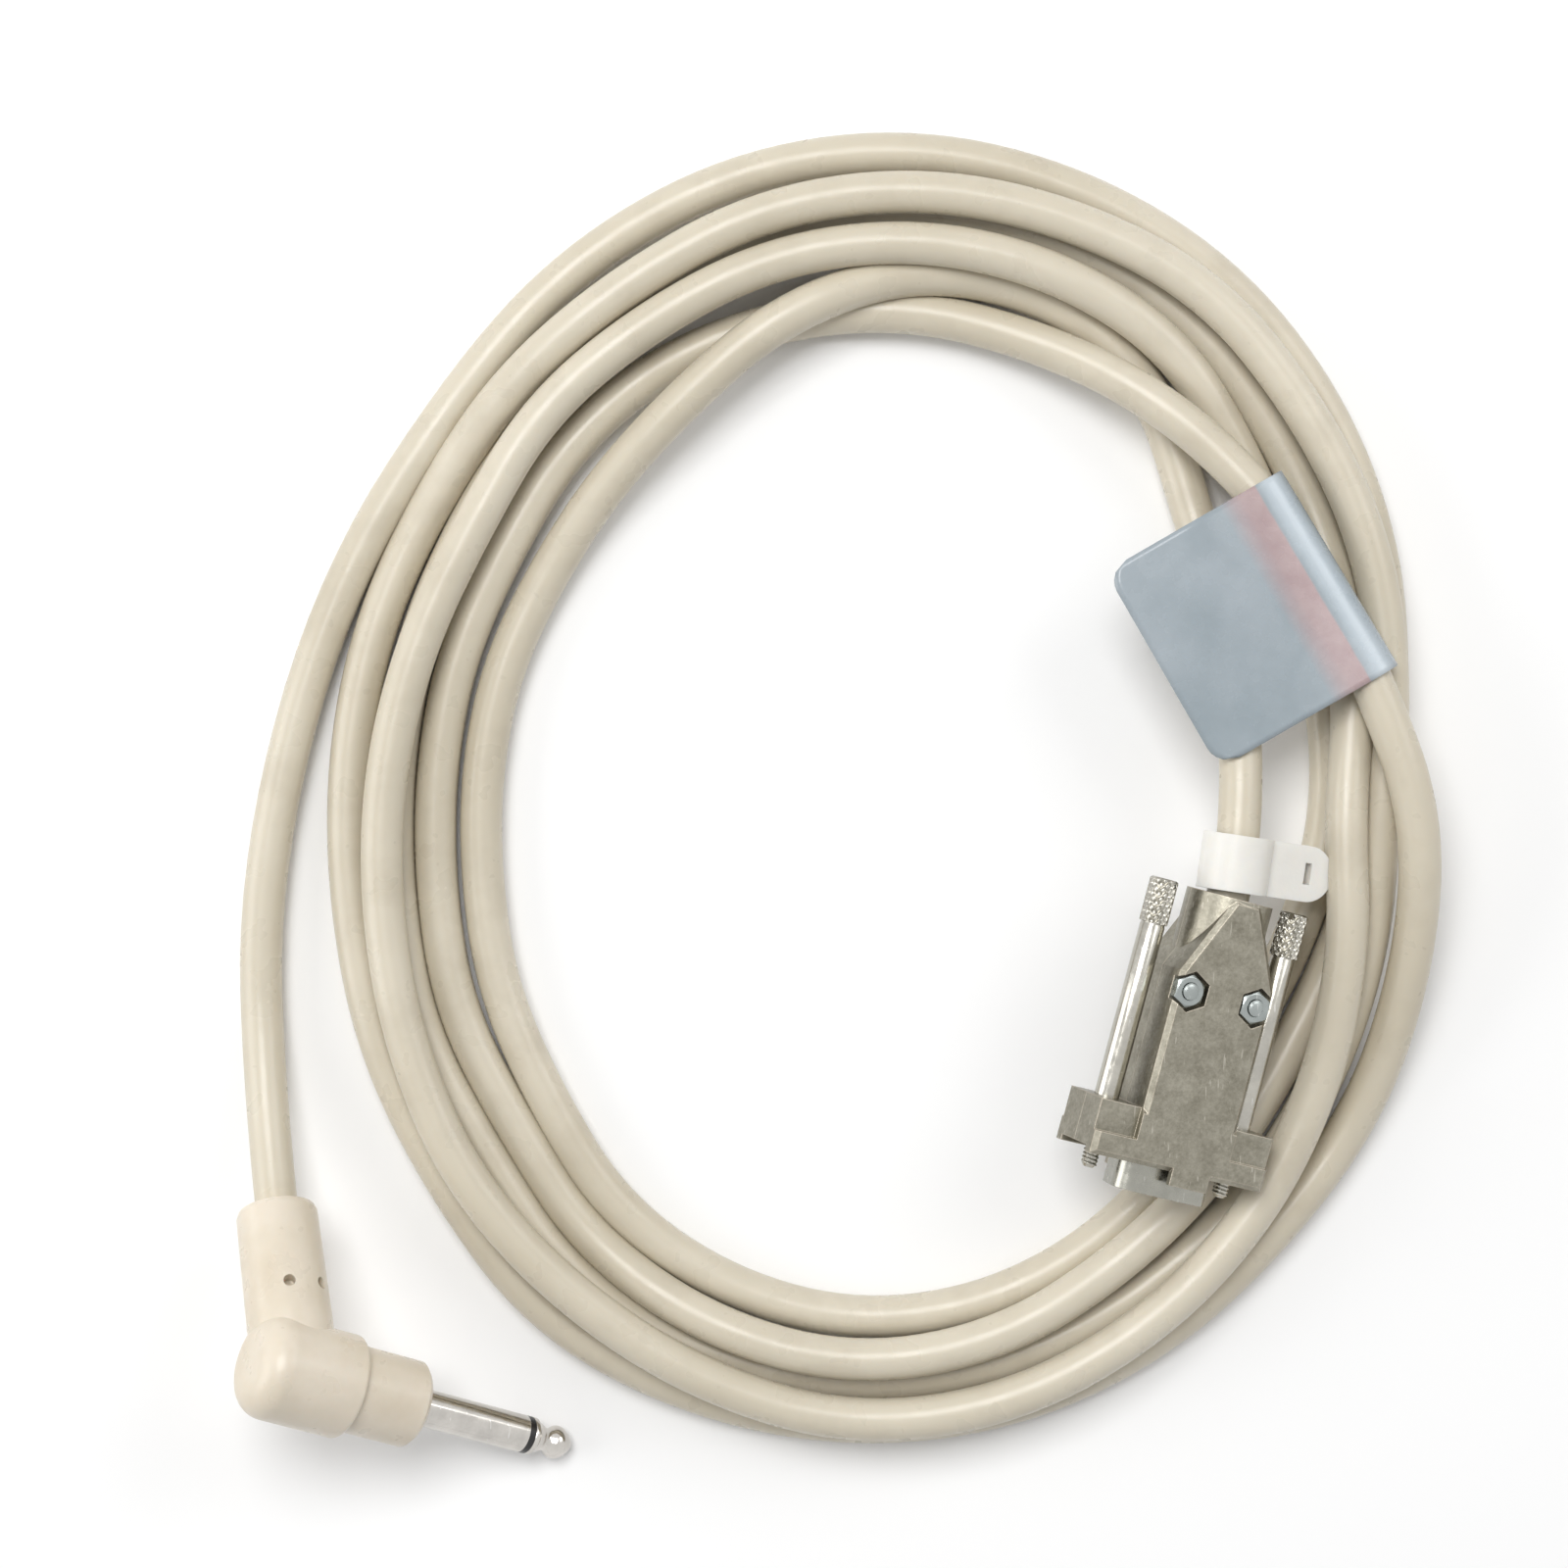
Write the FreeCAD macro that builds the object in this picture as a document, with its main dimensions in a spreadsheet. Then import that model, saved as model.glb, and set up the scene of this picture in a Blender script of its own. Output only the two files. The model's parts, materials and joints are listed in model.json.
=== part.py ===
"""Instrument cable: a jacketed cord, wound in a loose coil, between a moulded right-angle
6.35 mm phone plug and a nine-way D connector in a two-part metal hood with thumbscrews.

Millimetres, +Z up, the table at Z = 0. The origin is on the table under the middle of the
box round the two ends of the cable, the connector and the phone plug.
"""
import FreeCAD, Part
import math
import os

import Sketcher

V = FreeCAD.Vector
doc = FreeCAD.newDocument("InstrumentCable")

# ---------------------------------------------------------------- driving dimensions
SIZES = {
    # nine-way D connector, standard shell size
    "flange_wide": 30.81,
    "flange_tall": 12.5,
    "flange_thick": 0.8,
    "screw_pitch": 24.99,
    "flange_hole_radius": 1.6,
    "shell_wide": 16.92,
    "shell_tall": 8.36,
    "shell_taper": 1.47,
    "shell_wall": 0.5,
    "shell_corner": 2.2,
    "shell_reach": 5.9,
    "rear_reach": 4.6,
    "contact_pitch": 2.77,
    "contact_row": 2.84,
    "contact_radius": 0.5,
    "contact_reach": 5.2,
    "cup_radius": 0.9,
    "cup_long": 3.6,
    "insulator_gap": 0.1,
    "insulator_split": 2.4,
    "insulator_rear": 6.6,
    # two-part hood
    "hood_half_tall": 7.4,
    "hood_wide": 17.6,
    "hood_long": 31.5,
    "hood_wall": 1.6,
    "hood_edge": 0.8,
    "ear_wide": 32.4,
    "ear_long": 8.0,
    "ear_rim": 2.8,
    "ear_drop": 1.3,
    "lip_long": 1.1,
    "lip_deep": 1.4,
    "slot_gap": 0.1,
    "tongue_wide": 7.0,
    "tongue_side": 2.5,
    "tongue_reach": 2.2,
    "tongue_thick": 1.2,
    "neck_long": 13.5,
    "neck_root": 7.35,
    "neck_end": 7.3,
    "neck_flat": 2.4,
    "clamp_back": 28.4,
    "clamp_pitch": 12.4,
    "clamp_thread": 1.4,
    "clamp_head": 2.6,
    "clamp_head_deep": 2.2,
    "nut_flats": 5.0,
    "nut_room": 0.5,
    "nut_thick": 2.0,
    # thumbscrews and their retaining rings
    "screw_long": 49.2,
    "screw_proud": 4.0,
    "screw_shaft": 2.1,
    "screw_thread": 1.42,
    "thread_long": 3.9,
    "relief_radius": 1.2,
    "relief_back": 8.2,
    "knurl_radius": 2.4,
    "knurl_long": 7.6,
    "screw_running": 0.06,
    "ring_radius": 2.7,
    "ring_thick": 0.8,
    "ring_bore": 1.7,
    "ring_front": 4.9,
    "play_back": 1.4,
    "chamber_gap": 0.1,
    # nylon cable clamp behind the hood
    "nylon_long": 9.4,
    "nylon_wall": 2.3,
    "nylon_back": 1.0,
    "nylon_slack": 0.35,
    "nylon_tab": 12.6,
    "nylon_thick": 4.2,
    "nylon_slot_wide": 1.2,
    "nylon_slot_long": 3.6,
    # cord
    "cord_radius": 3.6,
    "jacket_end": 21.0,
    "ferrule_wall": 0.5,
    "ferrule_long": 7.0,
    "wire_radius": 0.8,
    # right-angle phone plug
    "head_radius": 8.7,
    "head_back": 8.6,
    "head_front": 9.4,
    "head_dome": 4.5,
    "head_edge": 0.7,
    "barrel_radius": 6.8,
    "barrel_root": 7.1,
    "barrel_long": 29.3,
    "barrel_lean": 11.2,
    "barrel_edge": 1.2,
    "cord_end": 14.0,
    "wire_way": 3.0,
    "lug_room": 4.9,
    "lug_room_back": 5.0,
    "pin_hole_radius": 1.0,
    "pin_hole_deep": 2.4,
    "pin_hole_back": 15.6,
    "neck_radius": 7.3,
    "neck_front": 22.2,
    "neck_edge": 0.8,
    "stub_radius": 5.4,
    "stub_back": 4.6,
    "finger_radius": 3.175,
    "finger_long": 30.5,
    "finger_back": 4.0,
    "finger_step": 0.3,
    "ring_back": 8.3,
    "ring_long": 1.1,
    "rod_radius": 1.2,
    "tube_radius": 1.9,
    "tip_shoulder": 0.9,
    "tip_waist": 1.95,
    "tip_waist_at": 3.3,
    "tip_ball": 2.85,
    "tip_ball_at": 5.4,
    "tip_end": 1.0,
    "tip_hole": 4.0,
    "rod_head": 1.8,
    "lug_thick": 0.6,
    "lug_long": 4.4,
    "lug_wide": 3.2,
    "tip_lug_at": 2.4,
    "ground_lug_radius": 3.0,
    # running and seated fits
    "fit": 0.03,
}

sheet = doc.addObject("Spreadsheet::Sheet", "Sizes")
for row, (alias, value) in enumerate(SIZES.items(), start=1):
    sheet.set(f"A{row}", alias)
    sheet.set(f"B{row}", str(value))
    sheet.setAlias(f"B{row}", alias)
doc.recompute()


def size(alias):
    """The sheet's value of one driving dimension."""
    return float(getattr(sheet, alias))


def bound(text):
    """An expression written in bare aliases, with each one made a reference to the sheet."""
    words = []
    word = ""
    for character in text + " ":
        if character.isalnum() or character == "_":
            word += character
            continue
        words.append(f"Sizes.{word}" if word in SIZES else word)
        words.append(character)
        word = ""
    return "".join(words).strip()


def value(text):
    """The number that an expression in aliases comes to now."""
    return float(sheet.evalExpression(bound(text)))


# ---------------------------------------------------------------- where the pieces lie
def heading(turn, dip):
    """A unit vector at a compass turn from +X, dipping below the horizontal, in degrees."""
    turn = math.radians(turn)
    dip = math.radians(dip)
    return V(math.cos(turn) * math.cos(dip), math.sin(turn) * math.cos(dip), -math.sin(dip))


def frame(origin, along, across):
    """A placement with +Z along one direction and +X as near as it can be to another."""
    along = V(along).normalize()
    side = across - along * across.dot(along)
    side.normalize()
    rotation = FreeCAD.Rotation(side, along.cross(side), along, "ZXY")
    return FreeCAD.Placement(origin, rotation)


# Connector: +Z out of the D shell, +X along its longer side, +Y out of the hood's top.
CONNECTOR_AT = V(62.4, -0.67, 19.9)
CONNECTOR_TURN = -105.0
CONNECTOR_ROLL = 20.0
NYLON_TURN = -98.5
# Plug: +Z along the finger, +X towards the cord's side, origin where the two axes cross.
PLUG_AT = V(-80.38, -35.32, 26.28)
FINGER_TURN = -21.0
FINGER_DIP = 28.3
BARREL_TURN = 101.7
BARREL_DIP = 28.3

connector_across = heading(CONNECTOR_TURN + 90, CONNECTOR_ROLL)
CONNECTOR = frame(CONNECTOR_AT, heading(CONNECTOR_TURN, 0), connector_across)
PLUG = frame(PLUG_AT, heading(FINGER_TURN, FINGER_DIP), heading(BARREL_TURN, BARREL_DIP))


def in_connector(x, y, z):
    return CONNECTOR.multVec(V(x, y, z))


def in_plug(x, y, z):
    return PLUG.multVec(V(x, y, z))


# ---------------------------------------------------------------- building blocks
def body_named(name, placement):
    body = doc.addObject("PartDesign::Body", name)
    body.Label = name
    body.Placement = placement
    return body


def plane(body, role):
    return next(item for item in body.Origin.OriginFeatures if item.Role == role)


def sketch_on(body, name, role, lift="0"):
    """An empty sketch on one of the body's own origin planes, lifted along its normal."""
    sketch = body.newObject("Sketcher::SketchObject", name)
    sketch.AttachmentSupport = [(plane(body, role), "")]
    sketch.MapMode = "FlatFace"
    sketch.AttachmentOffset = FreeCAD.Placement(V(0, 0, value(lift)), FreeCAD.Rotation())
    if lift != "0":
        sketch.setExpression("AttachmentOffset.Base.z", bound(lift))
    return sketch


def drive(sketch, kind, first, pos_first, second, pos_second, text):
    """One driving constraint, bound to the sheet."""
    number = value(text)
    index = sketch.addConstraint(
        Sketcher.Constraint(kind, first, pos_first, second, pos_second, number)
    )
    if "Sizes." in bound(text):
        sketch.setExpression(f"Constraints[{index}]", bound(text))


def outline(sketch, corners):
    """A closed outline of straight lines; each corner is a pair of expressions."""
    points = [V(value(x), value(y), 0) for x, y in corners]
    start = sketch.GeometryCount
    count = len(points)
    for index, point in enumerate(points):
        sketch.addGeometry(Part.LineSegment(point, points[(index + 1) % count]), False)
    for index in range(count):
        after = start + (index + 1) % count
        sketch.addConstraint(Sketcher.Constraint("Coincident", start + index, 2, after, 1))
    for index, (x, y) in enumerate(corners):
        drive(sketch, "DistanceX", -1, 1, start + index, 1, x)
        drive(sketch, "DistanceY", -1, 1, start + index, 1, y)


def box_outline(sketch, low_x, high_x, low_y, high_y):
    outline(sketch, [(low_x, low_y), (high_x, low_y), (high_x, high_y), (low_x, high_y)])


def circle(sketch, x, y, radius):
    middle = V(value(x), value(y), 0)
    index = sketch.addGeometry(Part.Circle(middle, V(0, 0, 1), value(radius)), False)
    drive(sketch, "DistanceX", -1, 1, index, 3, x)
    drive(sketch, "DistanceY", -1, 1, index, 3, y)
    number = sketch.addConstraint(Sketcher.Constraint("Radius", index, value(radius)))
    if "Sizes." in bound(radius):
        sketch.setExpression(f"Constraints[{number}]", bound(radius))


def pad(body, sketch, name, length, reverse=False):
    feature = body.newObject("PartDesign::Pad", name)
    feature.Profile = sketch
    feature.Length = value(length)
    feature.setExpression("Length", bound(length))
    feature.Reversed = reverse
    return feature


def pocket(body, sketch, name, length, reverse=False):
    """A cut whose volume is checked, so that one which points into the air is refused."""
    doc.recompute()
    before = body.Shape.Volume
    feature = body.newObject("PartDesign::Pocket", name)
    feature.Profile = sketch
    feature.Length = value(length)
    feature.setExpression("Length", bound(length))
    feature.Reversed = reverse
    doc.recompute()
    if body.Shape.Volume >= before - 1e-6:
        raise RuntimeError(f"{body.Label}: {name} cuts nothing")
    return feature


def groove(body, sketch, name, axis_name="V_Axis"):
    doc.recompute()
    before = body.Shape.Volume
    feature = body.newObject("PartDesign::Groove", name)
    feature.Profile = sketch
    feature.ReferenceAxis = (sketch, [axis_name])
    feature.Angle = 360.0
    doc.recompute()
    if body.Shape.Volume >= before - 1e-6:
        raise RuntimeError(f"{body.Label}: {name} cuts nothing")
    return feature


def turned(body, sketch, name, axis_name="V_Axis"):
    feature = body.newObject("PartDesign::Revolution", name)
    feature.Profile = sketch
    feature.ReferenceAxis = (sketch, [axis_name])
    feature.Angle = 360.0
    return feature


def edges_where(shape, test):
    return [f"Edge{i}" for i, edge in enumerate(shape.Edges, start=1) if test(edge)]


def soften(body, kind, name, test, amount):
    """A fillet or chamfer on the body's edges that pass a test."""
    doc.recompute()
    base = body.Tip
    feature = body.newObject(f"PartDesign::{kind}", name)
    feature.Base = (base, edges_where(base.Shape, test))
    word = "Radius" if kind == "Fillet" else "Size"
    setattr(feature, word, value(amount))
    feature.setExpression(word, bound(amount))
    return feature


def along_z(edge):
    """A straight edge that runs along the body's own Z."""
    if edge.Curve.TypeId != "Part::GeomLine":
        return False
    return abs(abs(edge.tangentAt(edge.FirstParameter).z) - 1) < 1e-6


def turned_part(name, placement, profile):
    """A turned piece: its profile is pairs of radius and place along the axis."""
    body = body_named(name, placement)
    sketch = sketch_on(body, f"{name}_profile", "XZ_Plane")
    outline(sketch, profile)
    turned(body, sketch, f"{name}_turned")
    return body


def shifted(placement, x):
    return placement.multiply(FreeCAD.Placement(V(x, 0, 0), FreeCAD.Rotation()))


# ---------------------------------------------------------------- D connector
def shell_outline(sketch, grow):
    """The D: a trapezoid, wider at the top, grown all round by an expression."""
    top = f"(shell_wide / 2 + {grow})"
    bottom = f"(shell_wide / 2 - shell_taper + {grow})"
    half = f"(shell_tall / 2 + {grow})"
    corners = [
        (f"-{bottom}", f"-{half}"),
        (bottom, f"-{half}"),
        (top, half),
        (f"-{top}", half),
    ]
    outline(sketch, corners)


def contact_places():
    """The nine contacts: five in the upper row and four in the lower."""
    rows = [("contact_row / 2", 5), ("-contact_row / 2", 4)]
    places = []
    for height, count in rows:
        for index in range(count):
            offset = index - (count - 1) / 2
            places.append((f"contact_pitch * ({offset})", height))
    return places


def is_long(amount):
    """A test for straight edges along Z of one length."""
    length = value(amount)
    return lambda edge: along_z(edge) and abs(edge.Length - length) < 1e-4


def flange_shell(name, plate_low, tube_low, tube_long, forward):
    """A pressed half of the connector: a flange plate with its D tube and two screw holes."""
    body = body_named(name, CONNECTOR)
    plate = sketch_on(body, f"{name}_plate", "XY_Plane", plate_low)
    box_outline(plate, "-flange_wide / 2", "flange_wide / 2", "-flange_tall / 2", "flange_tall / 2")
    pad(body, plate, f"{name}_flange", "flange_thick")
    tube = sketch_on(body, f"{name}_tube", "XY_Plane", tube_low)
    shell_outline(tube, "shell_wall")
    pad(body, tube, f"{name}_shell", tube_long)
    through = f"{tube_long} + flange_thick"
    start = f"{tube_low} + {tube_long}" if forward else f"{plate_low} + flange_thick"
    hollow = sketch_on(body, f"{name}_inside", "XY_Plane", start)
    shell_outline(hollow, "0")
    pocket(body, hollow, f"{name}_hollow", through)
    soften(body, "Fillet", f"{name}_inside_corners", is_long(through), "shell_corner")
    soften(body, "Fillet", f"{name}_shell_corners", is_long(tube_long), "shell_corner + shell_wall")
    soften(body, "Fillet", f"{name}_plate_corners", is_long("flange_thick"), "shell_wall * 2")
    holes = sketch_on(body, f"{name}_holes", "XY_Plane", f"{plate_low} + flange_thick")
    for side in ("-", ""):
        circle(holes, f"{side}screw_pitch / 2", "0", "flange_hole_radius")
    pocket(body, holes, f"{name}_screw_holes", "flange_thick")
    return body


def insulator(name, low, thick):
    """A moulded block that fills the D tube and holds the contacts."""
    body = body_named(name, CONNECTOR)
    block = sketch_on(body, f"{name}_block", "XY_Plane", low)
    shell_outline(block, "-insulator_gap")
    pad(body, block, f"{name}_pad", thick)
    soften(body, "Fillet", f"{name}_corners", is_long(thick), "shell_corner")
    holes = sketch_on(body, f"{name}_holes", "XY_Plane", f"{low} + {thick}")
    for x, y in contact_places():
        circle(holes, x, y, "contact_radius + fit")
    pocket(body, holes, f"{name}_bores", thick)
    return body


def contacts():
    """Nine turned pins with solder cups behind them."""
    body = body_named("contact_pins", CONNECTOR)
    pins = sketch_on(body, "contact_pin_circles", "XY_Plane", "-insulator_rear")
    cups = sketch_on(body, "contact_cup_circles", "XY_Plane", "-insulator_rear")
    bores = sketch_on(body, "contact_cup_bores", "XY_Plane", "-insulator_rear - cup_long")
    for x, y in contact_places():
        circle(pins, x, y, "contact_radius")
        circle(cups, x, y, "cup_radius")
        circle(bores, x, y, "contact_radius")
    pad(body, cups, "contact_cups", "cup_long", reverse=True)
    pad(body, pins, "contact_shanks", "insulator_rear + contact_reach")
    pocket(body, bores, "contact_cup_hollows", "cup_long / 2", reverse=True)
    return body


front_shell = flange_shell("front_shell", "-flange_thick", "0", "shell_reach", True)
rear_shell = flange_shell(
    "rear_shell", "-2 * flange_thick", "-2 * flange_thick - rear_reach", "rear_reach", False
)
front_insulator = insulator("front_insulator", "-insulator_split", "insulator_split")
rear_insulator = insulator("rear_insulator", "-insulator_rear", "insulator_rear - insulator_split")
contact_pins = contacts()


# ---------------------------------------------------------------- two-part hood
def hood_half(name, top):
    """One casting of the hood, split along the middle of its height."""
    body = body_named(name, CONNECTOR)
    sign = "" if top else "-"
    tongue = f"({sign}tongue_side)"

    plan = sketch_on(body, f"{name}_plan", "XZ_Plane")
    right = [
        ("ear_wide / 2", "lip_long"),
        ("ear_wide / 2", "-ear_long"),
        ("hood_wide / 2", "-ear_long"),
        ("hood_wide / 2", "-hood_long"),
        ("neck_flat", "-hood_long - neck_long"),
    ]
    left = [(f"-{x}", z) for x, z in reversed(right)]
    outline(plan, right + left)
    pad(body, plan, f"{name}_block", "hood_half_tall", reverse=top)

    outer = value(f"{sign}hood_half_tall")

    def on_top(edge):
        return all(abs(vertex.Point.y - outer) < 1e-6 for vertex in edge.Vertexes)

    soften(body, "Chamfer", f"{name}_edges", on_top, "hood_edge")

    for side, inner, end in (
        ("left", "-hood_wide / 2", "-ear_wide"),
        ("right", "hood_wide / 2", "ear_wide"),
    ):
        step = sketch_on(body, f"{name}_{side}_step_plan", "XZ_Plane", f"-({sign}hood_half_tall)")
        low, high = (end, inner) if side == "left" else (inner, end)
        box_outline(step, low, high, "-2 * ear_long", "-ear_rim")
        pocket(body, step, f"{name}_{side}_step", "ear_drop", reverse=top)

    neck = sketch_on(body, f"{name}_neck_profile", "XZ_Plane")
    corners = [
        ("0", "-hood_long"),
        ("0", "-hood_long - neck_long"),
        ("neck_end", "-hood_long - neck_long"),
        ("neck_root", "-hood_long"),
    ]
    outline(neck, corners)
    cone = turned(body, neck, f"{name}_neck")
    cone.Angle = 180.0
    cone.Reversed = not top

    plate = sketch_on(body, f"{name}_tongue_plan", "XZ_Plane", f"-({sign}hood_half_tall)")
    low, high = f"{tongue} - tongue_wide / 2", f"{tongue} + tongue_wide / 2"
    box_outline(plate, low, high, "0", "lip_long + tongue_reach")
    pad(body, plate, f"{name}_tongue", "tongue_thick", reverse=not top)

    def cut(tag, low_x, high_x, low_z, high_z, deep):
        cut_plan = sketch_on(body, f"{name}_{tag}_plan", "XZ_Plane")
        box_outline(cut_plan, low_x, high_x, low_z, high_z)
        pocket(body, cut_plan, f"{name}_{tag}", deep, reverse=not top)

    room = "(hood_wide / 2 - hood_wall)"
    tube = "(shell_wide / 2 + shell_wall + 2 * slot_gap)"
    slot = "(flange_wide / 2 + slot_gap)"
    back = "(-2 * flange_thick - slot_gap)"
    cut("room", f"-{room}", room, "-jacket_end", back, "hood_half_tall - hood_wall")
    deep = "hood_half_tall - hood_wall"
    cut("tube_room", f"-{tube}", tube, "-insulator_rear - 2 * slot_gap", back, deep)
    cut("slot", f"-{slot}", slot, back, "slot_gap", "flange_tall / 2 + slot_gap")
    cut("mouth", "-ear_wide", "ear_wide", "slot_gap", "2 * lip_long", "flange_tall / 2 - lip_deep")

    def channel(tag, x, radius, low_z, high_z):
        """A round way along the parting face, turned about its own line."""
        ring = sketch_on(body, f"{name}_{tag}_profile", "XZ_Plane")
        box_outline(ring, x, f"{x} + {radius}", low_z, high_z)
        line = ring.addGeometry(Part.LineSegment(V(value(x), -1, 0), V(value(x), 1, 0)), True)
        drive(ring, "DistanceX", -1, 1, line, 1, x)
        drive(ring, "DistanceX", -1, 1, line, 2, x)
        ring.addConstraint(Sketcher.Constraint("DistanceY", -1, 1, line, 1, -1))
        ring.addConstraint(Sketcher.Constraint("DistanceY", -1, 1, line, 2, 1))
        groove(body, ring, f"{name}_{tag}", "Axis0")

    end = "-hood_long - 2 * neck_long"
    channel("cord_way", "0", "cord_radius + screw_running", end, "-jacket_end")
    ferrule = "cord_radius + ferrule_wall + screw_running"
    channel("ferrule_way", "0", ferrule, "-jacket_end - ferrule_long - 2 * hood_edge", "-jacket_end")
    way = "screw_shaft + screw_running"
    chamber = "ring_radius + chamber_gap"
    chamber_front = back
    chamber_back = "-ring_front - ring_thick - play_back - chamber_gap"
    for side, sign_x in (("left", "-"), ("right", "")):
        x = f"{sign_x}screw_pitch / 2"
        channel(f"{side}_way", x, way, "-ear_long - lip_long", "-flange_thick")
        channel(f"{side}_chamber", x, chamber, chamber_back, chamber_front)

    holes = sketch_on(body, f"{name}_hole_circles", "XZ_Plane")
    for sign_x in ("-", ""):
        circle(holes, f"{sign_x}clamp_pitch / 2", "-clamp_back", "clamp_thread + screw_running")
    pocket(body, holes, f"{name}_holes", "hood_half_tall", reverse=not top)

    seat = sketch_on(body, f"{name}_seat_plan", "XZ_Plane", f"-({sign}hood_half_tall)")
    reach = "(nut_flats / 2 + nut_room)" if top else "(clamp_head + slot_gap)"
    deep = "nut_thick + 3 * slot_gap" if top else "clamp_head_deep + 3 * slot_gap"
    for sign_x in ("-", ""):
        middle = f"{sign_x}clamp_pitch / 2"
        if top:
            point = "(nut_flats / 2 + nut_room) * 1.1547"
            corners = [
                (f"{middle} - {reach}", f"-clamp_back - {point} / 2"),
                (middle, f"-clamp_back - {point}"),
                (f"{middle} + {reach}", f"-clamp_back - {point} / 2"),
                (f"{middle} + {reach}", f"-clamp_back + {point} / 2"),
                (middle, f"-clamp_back + {point}"),
                (f"{middle} - {reach}", f"-clamp_back + {point} / 2"),
            ]
            outline(seat, corners)
        else:
            circle(seat, middle, "-clamp_back", reach)
    pocket(body, seat, f"{name}_seats", deep, reverse=top)
    return body


hood_upper_half = hood_half("hood_upper_half", True)
hood_lower_half = hood_half("hood_lower_half", False)


def hood_screws():
    """Two screws that pull the halves together on the cord, heads in the lower half."""
    body = body_named("hood_screws", CONNECTOR)
    head_seat = "hood_half_tall - clamp_head_deep - 3 * slot_gap"
    shanks = sketch_on(body, "hood_screw_shanks", "XZ_Plane", head_seat)
    heads = sketch_on(body, "hood_screw_heads", "XZ_Plane", head_seat)
    for sign_x in ("-", ""):
        circle(shanks, f"{sign_x}clamp_pitch / 2", "-clamp_back", "clamp_thread")
        circle(heads, f"{sign_x}clamp_pitch / 2", "-clamp_back", "clamp_head")
    pad(body, heads, "hood_screw_head", "clamp_head_deep")
    long_part = "2 * hood_half_tall - clamp_head_deep - 3 * slot_gap"
    pad(body, shanks, "hood_screw_shank", long_part, reverse=True)
    return body


def hood_nuts():
    """Two hexagon nuts in the upper half's pockets."""
    body = body_named("hood_nuts", CONNECTOR)
    top_face = "-(hood_half_tall - 3 * slot_gap)"
    plan = sketch_on(body, "hood_nut_plan", "XZ_Plane", top_face)
    bores = sketch_on(body, "hood_nut_bores", "XZ_Plane", top_face)
    half = "(nut_flats / 2)"
    point = "(nut_flats / 2 * 1.1547)"
    for sign_x in ("-", ""):
        middle = f"{sign_x}clamp_pitch / 2"
        corners = [
            (f"{middle} - {half}", f"-clamp_back - {point} / 2"),
            (middle, f"-clamp_back - {point}"),
            (f"{middle} + {half}", f"-clamp_back - {point} / 2"),
            (f"{middle} + {half}", f"-clamp_back + {point} / 2"),
            (middle, f"-clamp_back + {point}"),
            (f"{middle} - {half}", f"-clamp_back + {point} / 2"),
        ]
        outline(plan, corners)
        circle(bores, middle, "-clamp_back", "clamp_thread + fit")
    pad(body, plan, "hood_nut_pad", "nut_thick")
    pocket(body, bores, "hood_nut_bore", "nut_thick", reverse=True)
    return body


hood_screw_pair = hood_screws()
hood_nut_pair = hood_nuts()


# ---------------------------------------------------------------- thumbscrews
def thumbscrew(name, x):
    """A long captive screw: thread, shaft with a ring groove, and a knurled grip."""
    groove_radius = "ring_bore - screw_running"
    groove_front = "-ring_front + screw_running"
    groove_back = "-ring_front - ring_thick - screw_running"
    thread_back = "screw_proud - thread_long"
    relief_back = "screw_proud - relief_back"
    back = "screw_proud - screw_long"
    profile = [
        ("0", "screw_proud"),
        ("screw_thread * 0.6", "screw_proud"),
        ("screw_thread", "screw_proud - screw_thread * 0.5"),
        ("screw_thread", thread_back),
        ("relief_radius", thread_back),
        ("relief_radius", relief_back),
        ("screw_shaft", relief_back),
        ("screw_shaft", groove_front),
        (groove_radius, groove_front),
        (groove_radius, groove_back),
        ("screw_shaft", groove_back),
        ("screw_shaft", f"{back} + knurl_long"),
        ("knurl_radius", f"{back} + knurl_long"),
        ("knurl_radius", f"{back} + screw_running * 5"),
        ("knurl_radius - screw_running * 5", back),
        ("0", back),
    ]
    return turned_part(name, shifted(CONNECTOR, value(x)), profile)


def retaining_ring(name, x):
    """The snap ring in the thumbscrew's groove, which slides with it in the hood's ear."""
    profile = [
        ("ring_bore", "-ring_front"),
        ("ring_radius", "-ring_front"),
        ("ring_radius", "-ring_front - ring_thick"),
        ("ring_bore", "-ring_front - ring_thick"),
    ]
    return turned_part(name, shifted(CONNECTOR, value(x)), profile)


for side_name, place in (("left", "-screw_pitch / 2"), ("right", "screw_pitch / 2")):
    thumbscrew(f"thumbscrew_{side_name}", place)
    retaining_ring(f"retaining_ring_{side_name}", place)


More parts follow.
